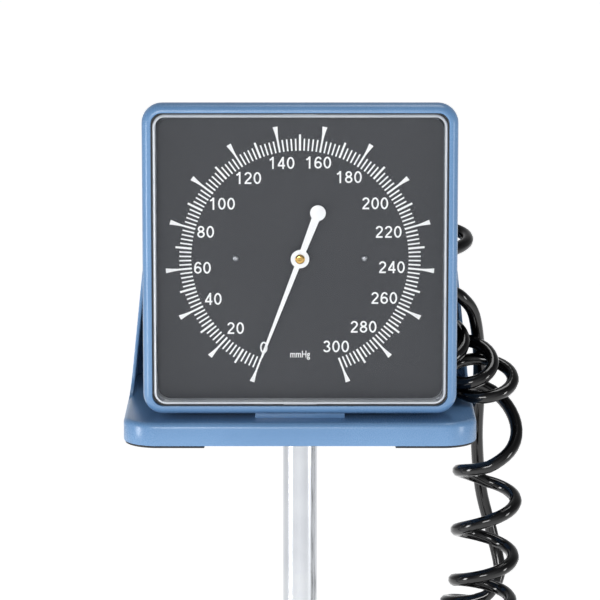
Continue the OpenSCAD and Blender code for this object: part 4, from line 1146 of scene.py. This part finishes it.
def star_base():
    """Five curved legs, one modelled and turned round the hub, with a domed boss over each castor."""
    leg = block("leg", (LEG_INNER, -ROOT_HALF, LEG_FOOT), (LEG_INNER + LEG_REACH, ROOT_HALF, LEG_TOP))
    scale_face(leg, 0, 1, (1, TIP_HALF / ROOT_HALF, 1), (0, 0, LEG_FOOT))
    stations = [LEG_INNER + LEG_REACH * i / 12 for i in range(13)]
    for r in stations[1:-1]:
        bisect(leg, (r, 0, 0), (1, 0, 0))
    for r in stations:
        choose(leg, "VERT", lambda p: abs(p.x - r) < 1e-5 and p.z > 0.07)
        bpy.ops.transform.translate(value=(0, 0, leg_height(r) - LEG_TOP))
        done()
    choose(leg, "FACE", lambda c, n: n.z < -0.9 and 0.045 < c.x < 0.215)
    bpy.ops.mesh.inset(thickness=LEG_WALL)
    extrude_on((0, 0, LEG_HOLLOW))
    done()
    bevel_edges(leg, lambda a, b: min(a.z, b.z) > 0.075 and abs(a.y - b.y) < 0.004 and abs(a.x - b.x) > 0.005,
                LEG_CROWN, 5)
    smooth(leg, 40)
    boss = turned("castor_boss", [
        (56, 0), (56, 5.6), (56, 14.2), (56.6, 15.4), (58, 16.6), (59.5, 17), (78.5, 17), (81.5, 15.5), (83.8, 11.5),
        (85.1, 6), (85.6, 0)], (CASTOR_OUT, 0, 0), (0, 0, 1), 64)
    parts = []
    for i in range(LEGS):
        turn = Matrix.Rotation(math.radians(-90 + 360 / LEGS * i), 4, "Z")
        parts += [copy_of(leg, "leg", turn), copy_of(boss, "castor_boss", turn)]
    for model in (leg, boss):
        bpy.data.objects.remove(model)
    parts.append(turned("hub", [
        (61, 4.3), (61, 33), (61.8, 34.5), (64, 35), (92, 34.3), (98, 33.5), (104, 31.8), (110, 29), (115, 25.6),
        (119, 22), (121.3, 18.5), (122, 16.5), (122, 12.8), (121.2, 12.56), (68, 12.56), (68, 4.3), (61, 4.3)],
        (0, 0, 0), (0, 0, 1), 96))
    finish_piece(join("star_base_casting", parts), "base", "black_cast_metal", "star_base")


def castor_wheel(centre, axis):
    """Twin-castor wheel: ribbed disc, rounded tread with two grooves, and a hub cap."""
    return turned("wheel", [
        (4.6, 3.1), (4.6, 9), (5.2, 10), (5.2, 22.2), (6, 24), (7, 24.8), (8.2, 25), (9.8, 25), (10.1, 24.5),
        (10.6, 24.5), (10.9, 25), (15.2, 25), (15.5, 24.5), (16, 24.5), (16.3, 25), (18.2, 25), (19.5, 24.7),
        (20.4, 23.8), (20.9, 22.6), (20.9, 21.2), (20.2, 20), (19.6, 19), (19.1, 13), (19.2, 9.8), (20.3, 9),
        (20.9, 7.8), (21, 6), (21, 3.1), (4.6, 3.1)], centre, axis, 72)


def castors():
    """Hooded twin-wheel castors: one pair of wheels turned, then carried round to the other legs."""
    low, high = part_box("castor_wheels_1")
    axis = Vector((0.5, math.sqrt(0.75), 0))
    pair = join("castor_wheel_pair", [castor_wheel((low + high) / 2, side * axis) for side in (1, -1)])
    for i in range(1, LEGS + 1):
        turn = Matrix.Rotation(math.radians(360 / LEGS * (i - 1)), 4, "Z")
        wheels = copy_of(pair, f"castor_wheel_pair_{i}", turn)
        finish_piece(wheels, f"wheels_{i}", "wheel_tread", f"castor_wheels_{i}")
        eased(f"castor_hood_{i}", f"castor_body_{i}", 0.0007, 2, f"castor_{i}", "castor_nylon")
    bpy.data.objects.remove(pair)


# Cuff, bulb and fittings

def spiral_point(s, depth):
    """Point across and up on the roll's winding, `depth` below its outer face."""
    grow = ROLL_CORE + (1 - ROLL_CORE) * s
    a = math.radians(360 * ROLL_TURNS * s + 150)
    return Vector((ROLL_PLACE.y + (grow * ROLL_HALF[0] - depth) * math.cos(a),
                   ROLL_PLACE.z + (grow * ROLL_HALF[1] - depth) * math.sin(a)))


def band_profile(v):
    """Place across the cuff and half its thickness there, round the band's closed section."""
    ring = (v * 2) % 2
    top = ring < 1
    across = ring if top else 2 - ring
    edge = min(across, 1 - across) * CUFF_WIDTH
    puff = min(1, edge / PUFF_RUN)
    seam = 0.55 if HEM - 0.0015 < edge < HEM + 0.0015 else 1
    half = CUFF_THICK / 2 * (0.30 + 0.70 * math.sin(puff * math.pi / 2)) * seam
    if edge < 0.0004:
        half = 0
    return across, half if top else -half


def rolled_cuff():
    """Wound cuff: one padded band on an oval spiral, thinner at its sewn hems, slightly uneven as hands leave it."""
    random.seed(4)
    # Slow waves along the winding: rate, phase and size
    waves = [(random.uniform(3, 11), random.uniform(0, 6), random.uniform(0.00008, 0.0002)) for _ in range(5)]

    def cuff_place(s, v):
        across, half = band_profile(v)
        wave = sum(size * math.sin(rate * s * 12 + phase + across * 4) for rate, phase, size in waves)
        end = min(1, s / END_RUN, (1 - s) / END_RUN)
        middle = spiral_point(s, CUFF_THICK / 2 + 0.0002 + abs(wave))
        normal = (spiral_point(s, 0) - middle).normalized()
        shift = 0.0008 * math.sin(s * 9) * min(1, s * 3)
        return (ROLL_PLACE.x + 0.001 + across * (CUFF_WIDTH - 0.002) + shift,
                *(middle + normal * half * (0.25 + 0.75 * end)))
    cuff = grid_piece("rolled_cuff", 300, 56, cuff_place)
    edit(cuff)
    bpy.ops.mesh.remove_doubles(threshold=1e-6)
    bpy.ops.mesh.select_all(action="DESELECT")
    bpy.ops.mesh.select_mode(type="EDGE")
    bpy.ops.mesh.select_non_manifold(extend=False)
    bpy.ops.mesh.fill()
    bpy.ops.mesh.select_all(action="SELECT")
    bpy.ops.mesh.normals_make_consistent(inside=False)
    done()
    apply_modifier(cuff, "SUBSURF", levels=1, render_levels=1)
    smooth(cuff, 60)
    finish_piece(cuff, "head", "cuff_nylon", "cuff")


def hem_stitches():
    """Two rows of lockstitch along the outer turn, one stitch modelled and laid end to end."""
    deselect()
    bpy.ops.mesh.primitive_uv_sphere_add(segments=6, ring_count=4, radius=1)
    stitch = named("stitch")
    stitch.data.transform(Matrix.Diagonal((0.00022, 0.0011, 0.00022, 1)))
    stitches = []
    since_last, s = 0, ROWS_FROM
    while s < ROWS_TO:
        here = spiral_point(s, STITCH_DEPTH)
        run = spiral_point(s + ROWS_BY, STITCH_DEPTH) - here
        since_last += run.length
        if since_last >= STITCH_STEP:
            since_last = 0
            turn = Matrix.Rotation(math.atan2(run.y, run.x), 4, "X")
            for across in (HEM, CUFF_WIDTH - HEM):
                place = Matrix.Translation((ROLL_PLACE.x + across, here.x, here.y))
                stitches.append(copy_of(stitch, "stitch", place @ turn))
        s += ROWS_BY
    bpy.data.objects.remove(stitch)
    row = join("hem_stitches", stitches)
    smooth(row, 60)
    finish_piece(row, "head", "cuff_nylon", material=sewing_thread())


def patch_place(along, over):
    place = spiral_point(0.80 + 0.15 * along, -0.00005)
    return ROLL_PLACE.x + (0.5 + 0.34 * (2 * over - 1)) * CUFF_WIDTH, place.x, place.y


def closure_patch():
    """Patch of loop tape sewn near the outer end of the cuff, where its hook side grips."""
    patch = grid_piece("closure_patch", 40, 18, patch_place)
    outward(patch)
    apply_modifier(patch, "SOLIDIFY", thickness=0.0009, offset=-1)
    soften(patch, 0.0003, 2, 50)
    finish_piece(patch, "head", "cuff_nylon", material=loop_tape())


def bulb():
    """Hand bulb: dipped skin, fullest in the middle, with rolled necks and a faint parting ring."""
    low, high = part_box("inflation_bulb")
    half, radius = (high.x - low.x) * 500, (high.z - low.z) * 500
    neck = [(half, 0), (half, 5.8), (half - 0.6, 6.5), (half - 2.2, 6.8), (half - 4, 7)]
    profile = [(-along, r) for along, r in neck]
    for i in range(33):
        a = math.radians(-70 + 140 * i / 32)
        ring = 0.25 if i == 16 else 0
        profile.append(((half - 4.5) * math.sin(a), radius * math.cos(a) ** 0.62 - 0.3 + ring))
    piece = turned("hand_bulb", profile + neck[::-1], (low + high) / 2, (1, 0, 0), 72)
    smooth(piece, 60)
    finish_piece(piece, "head", "bulb_rubber", "inflation_bulb")


def bulb_end_valve():
    """Chromed valve at the bulb's free end, with a knurled grip."""
    low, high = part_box("bulb_end_valve")
    place = Vector((low.x, *((low + high) / 2).yz))
    profile = [(4.5, 0), (4.5, 7.3), (4.3, 7.5), (2.2, 7.5), (2, 7.3), (2, 5.6), (1.8, 5.5), (0.3, 5.5), (0, 5.2),
               (0, 1.6), (1, 1.3), (1, 0)]
    end = turned("bulb_end_valve_body", profile, place, (1, 0, 0))
    knurl(end, place, (1, 0, 0), 0.0024, 0.0042, 0.00025)
    finish_piece(end, "head", "chrome_plate", "bulb_end_valve")


# Small mouldings, castings and screws

def eased_pieces(rows):
    """Pieces that keep their CAD form: name, node, width and segments of their broken edges, body and slot."""
    for row in rows:
        eased(*row)


def screw_set(name, node, places, axis, *sizes):
    """Cross-head screws of one kind as one piece: one modelled, then copied to the other places."""
    places = [Vector(place) for place in places]
    heads = [cross_screw(name, places[0], axis, *sizes)]
    heads += [copy_of(heads[0], name, Matrix.Translation(place - places[0])) for place in places[1:]]
    finish_piece(join(name + "_set", heads), "head", "zinc_plated_steel", node)


def screws():
    """Four in the back's wells, two under the foot and four round the column."""
    screw_set("case_screw", "case_screws", [(x, SEAM_Y + 0.0045, z) for x, z in CASE_CORNERS], (0, 1, 0),
              2.9, 2, 1.35, 8)
    screw_set("foot_screw", "foot_screws", [(x, SEAM_Y - 0.0045, TRAY_Z - 0.0047) for x in (-0.015, 0.015)],
              (0, 0, -1), 3.6, 2.2, 1.6, 6)
    screw_set("socket_screw", "socket_screws",
              [(x, y, TRAY_Z + 0.002) for x in (-0.017, 0.017) for y in (-0.017, 0.017)], (0, 0, 1),
              3.6, 2, 1.65, 6.5)


photograph_camera()
MATERIALS = {
    # Injection-moulded ABS with a fine satin grain: soft broad highlights and slight cloudiness
    "blue_moulding": surface("blue_abs", BLUE_LIGHT, BLUE_DARK, 0.03, (0.0005, 0.00002), (0.24, 0.31), IOR=1.5),
    "clear_crystal": clear_acrylic(),
    # Sprayed and stoved charcoal enamel: matt, with a very fine speckle
    "dial_grey": surface("dial_enamel", "3F4043", "3B3C3F", 0.0004, (0.0002, 0.000002), (0.6, 0.7), IOR=1.3),
    # White stoved enamel on stamped aluminium: smooth satin
    "pointer_white": surface("pointer_enamel", "F8F9FA", "F1F2F4", 0.004, (0.0006, 0.00001), (0.3, 0.4), IOR=1.5,
                             Coat_Weight=0.2, Coat_Roughness=0.2),
    # Satin chrome on a drawn steel tube: soft reflections, with a faint haze in streaks along the tube
    "chrome_plate": hazed("chrome_plate", "D6D9DD", "CDD0D5", 0.02, 900, (0.20, 0.27), (1, 1, 0.05), Metallic=1),
    # Machined acetal: milky, slightly waxy
    "acetal": surface("white_acetal", "E9E9E4", "DFDFD9", 0.01, (0.0004, 0.00002), (0.35, 0.45), IOR=1.48,
                      Subsurface_Weight=0.1),
    # Extruded black polyurethane: smooth as it left the die, so it mirrors the lamps in long lines
    "hose_black": surface("glossy_polyurethane", "060607", "040405", 0.01, (0.004, 0.000006), (0.08, 0.14), IOR=1.5),
    # Dip-moulded black rubber: matt, with a bloom of talc that greys it in patches
    "bulb_rubber": surface("soft_latex", "1D1D20", "121214", 0.008, (0.0007, 0.00003), (0.5, 0.62), IOR=1.52),
    "cuff_nylon": woven_nylon(),
    # Warm metals: turned and polished brass, hardened beryllium bronze
    "polished_brass": metal("polished_brass", "D9B36A", "CDA65C", 0.16, 0.26),
    "capsule_bronze": metal("beryllium_bronze", "C88F5A", "B57F4C", 0.25, 0.35),
    # Steels: bright zinc plate, darker tempered spring steel, duller pressed sheet
    "zinc_plated_steel": metal("zinc_plated_steel", "C9CDD2", "B9BEC6", 0.24, 0.36),
    "spring_steel": metal("spring_steel", "8D939C", "7D838C", 0.2, 0.3),
    "carrier_steel": metal("pressed_steel", "A9AEB5", "989DA5", 0.32, 0.45),
    # Die-cast aluminium, bead blasted
    "cast_aluminium": metal("die_cast_aluminium", "B2B5B9", "A2A5AA", 0.4, 0.52, 0.0008, 0.00006),
    # Powder coat on the base, nylon of the grips and castors, rubber-like treads and seals: one pebbled grain
    "black_cast_metal": moulded_nylon("black_powder_coat", "1B1C1F", "151619"),
    "black_nylon": moulded_nylon("glass_filled_nylon", "1A1B1E", "131417"),
    "castor_nylon": moulded_nylon("castor_nylon", "17181A", "111214"),
    "wheel_tread": moulded_nylon("polyurethane_tread", "242529", "1C1D20"),
    "black_seal": moulded_nylon("seal_rubber", "17181B", "111215"),
}
hoses()
studio()

for part in frame["record"]["subparts"]:
    node = frame["nodes"][part["node"]]
    node.data.materials.clear()
    node.data.materials.append(MATERIALS[part["material_slot"]])

bezel_frame()
rear_shell()
crystal_cap()
# Screen-printed white ink: flat and slightly chalky
white_ink = surface("white_print", "F7F8F8", "EEF0F1", 0.002, (0.0003, 0.00001), (0.55, 0.7), IOR=1.5)
scale_print(white_ink)
dial_numbers(white_ink)
dial_screws()
pointer_set()
cuff_tray()
eased_pieces([("gauge_foot_moulding", "gauge_foot", 0.0009, 3, "head", "blue_moulding"),
              ("tray_corner_pads", "tray_pads", 0.0004, 2, "head", "black_seal"),
              ("column_socket_casting", "column_socket", 0.0007, 3, "head", "cast_aluminium"),
              ("guide_bush_turned", "guide_bush", 0.0004, 2, "base", "acetal")])
screws()
column()
clamp_hand_knob()
star_base()
castors()
rolled_cuff()
hem_stitches()
closure_patch()
bulb()
bulb_end_valve()
eased_pieces([("release_valve_body", "release_valve", 0.00035, 2, "head", "chrome_plate"),
              ("release_thumb_screw", "release_screw", 0.0002, 2, "release", "chrome_plate"),
              ("hose_port_fitting", "hose_port", 0.0003, 2, "head", "chrome_plate")])
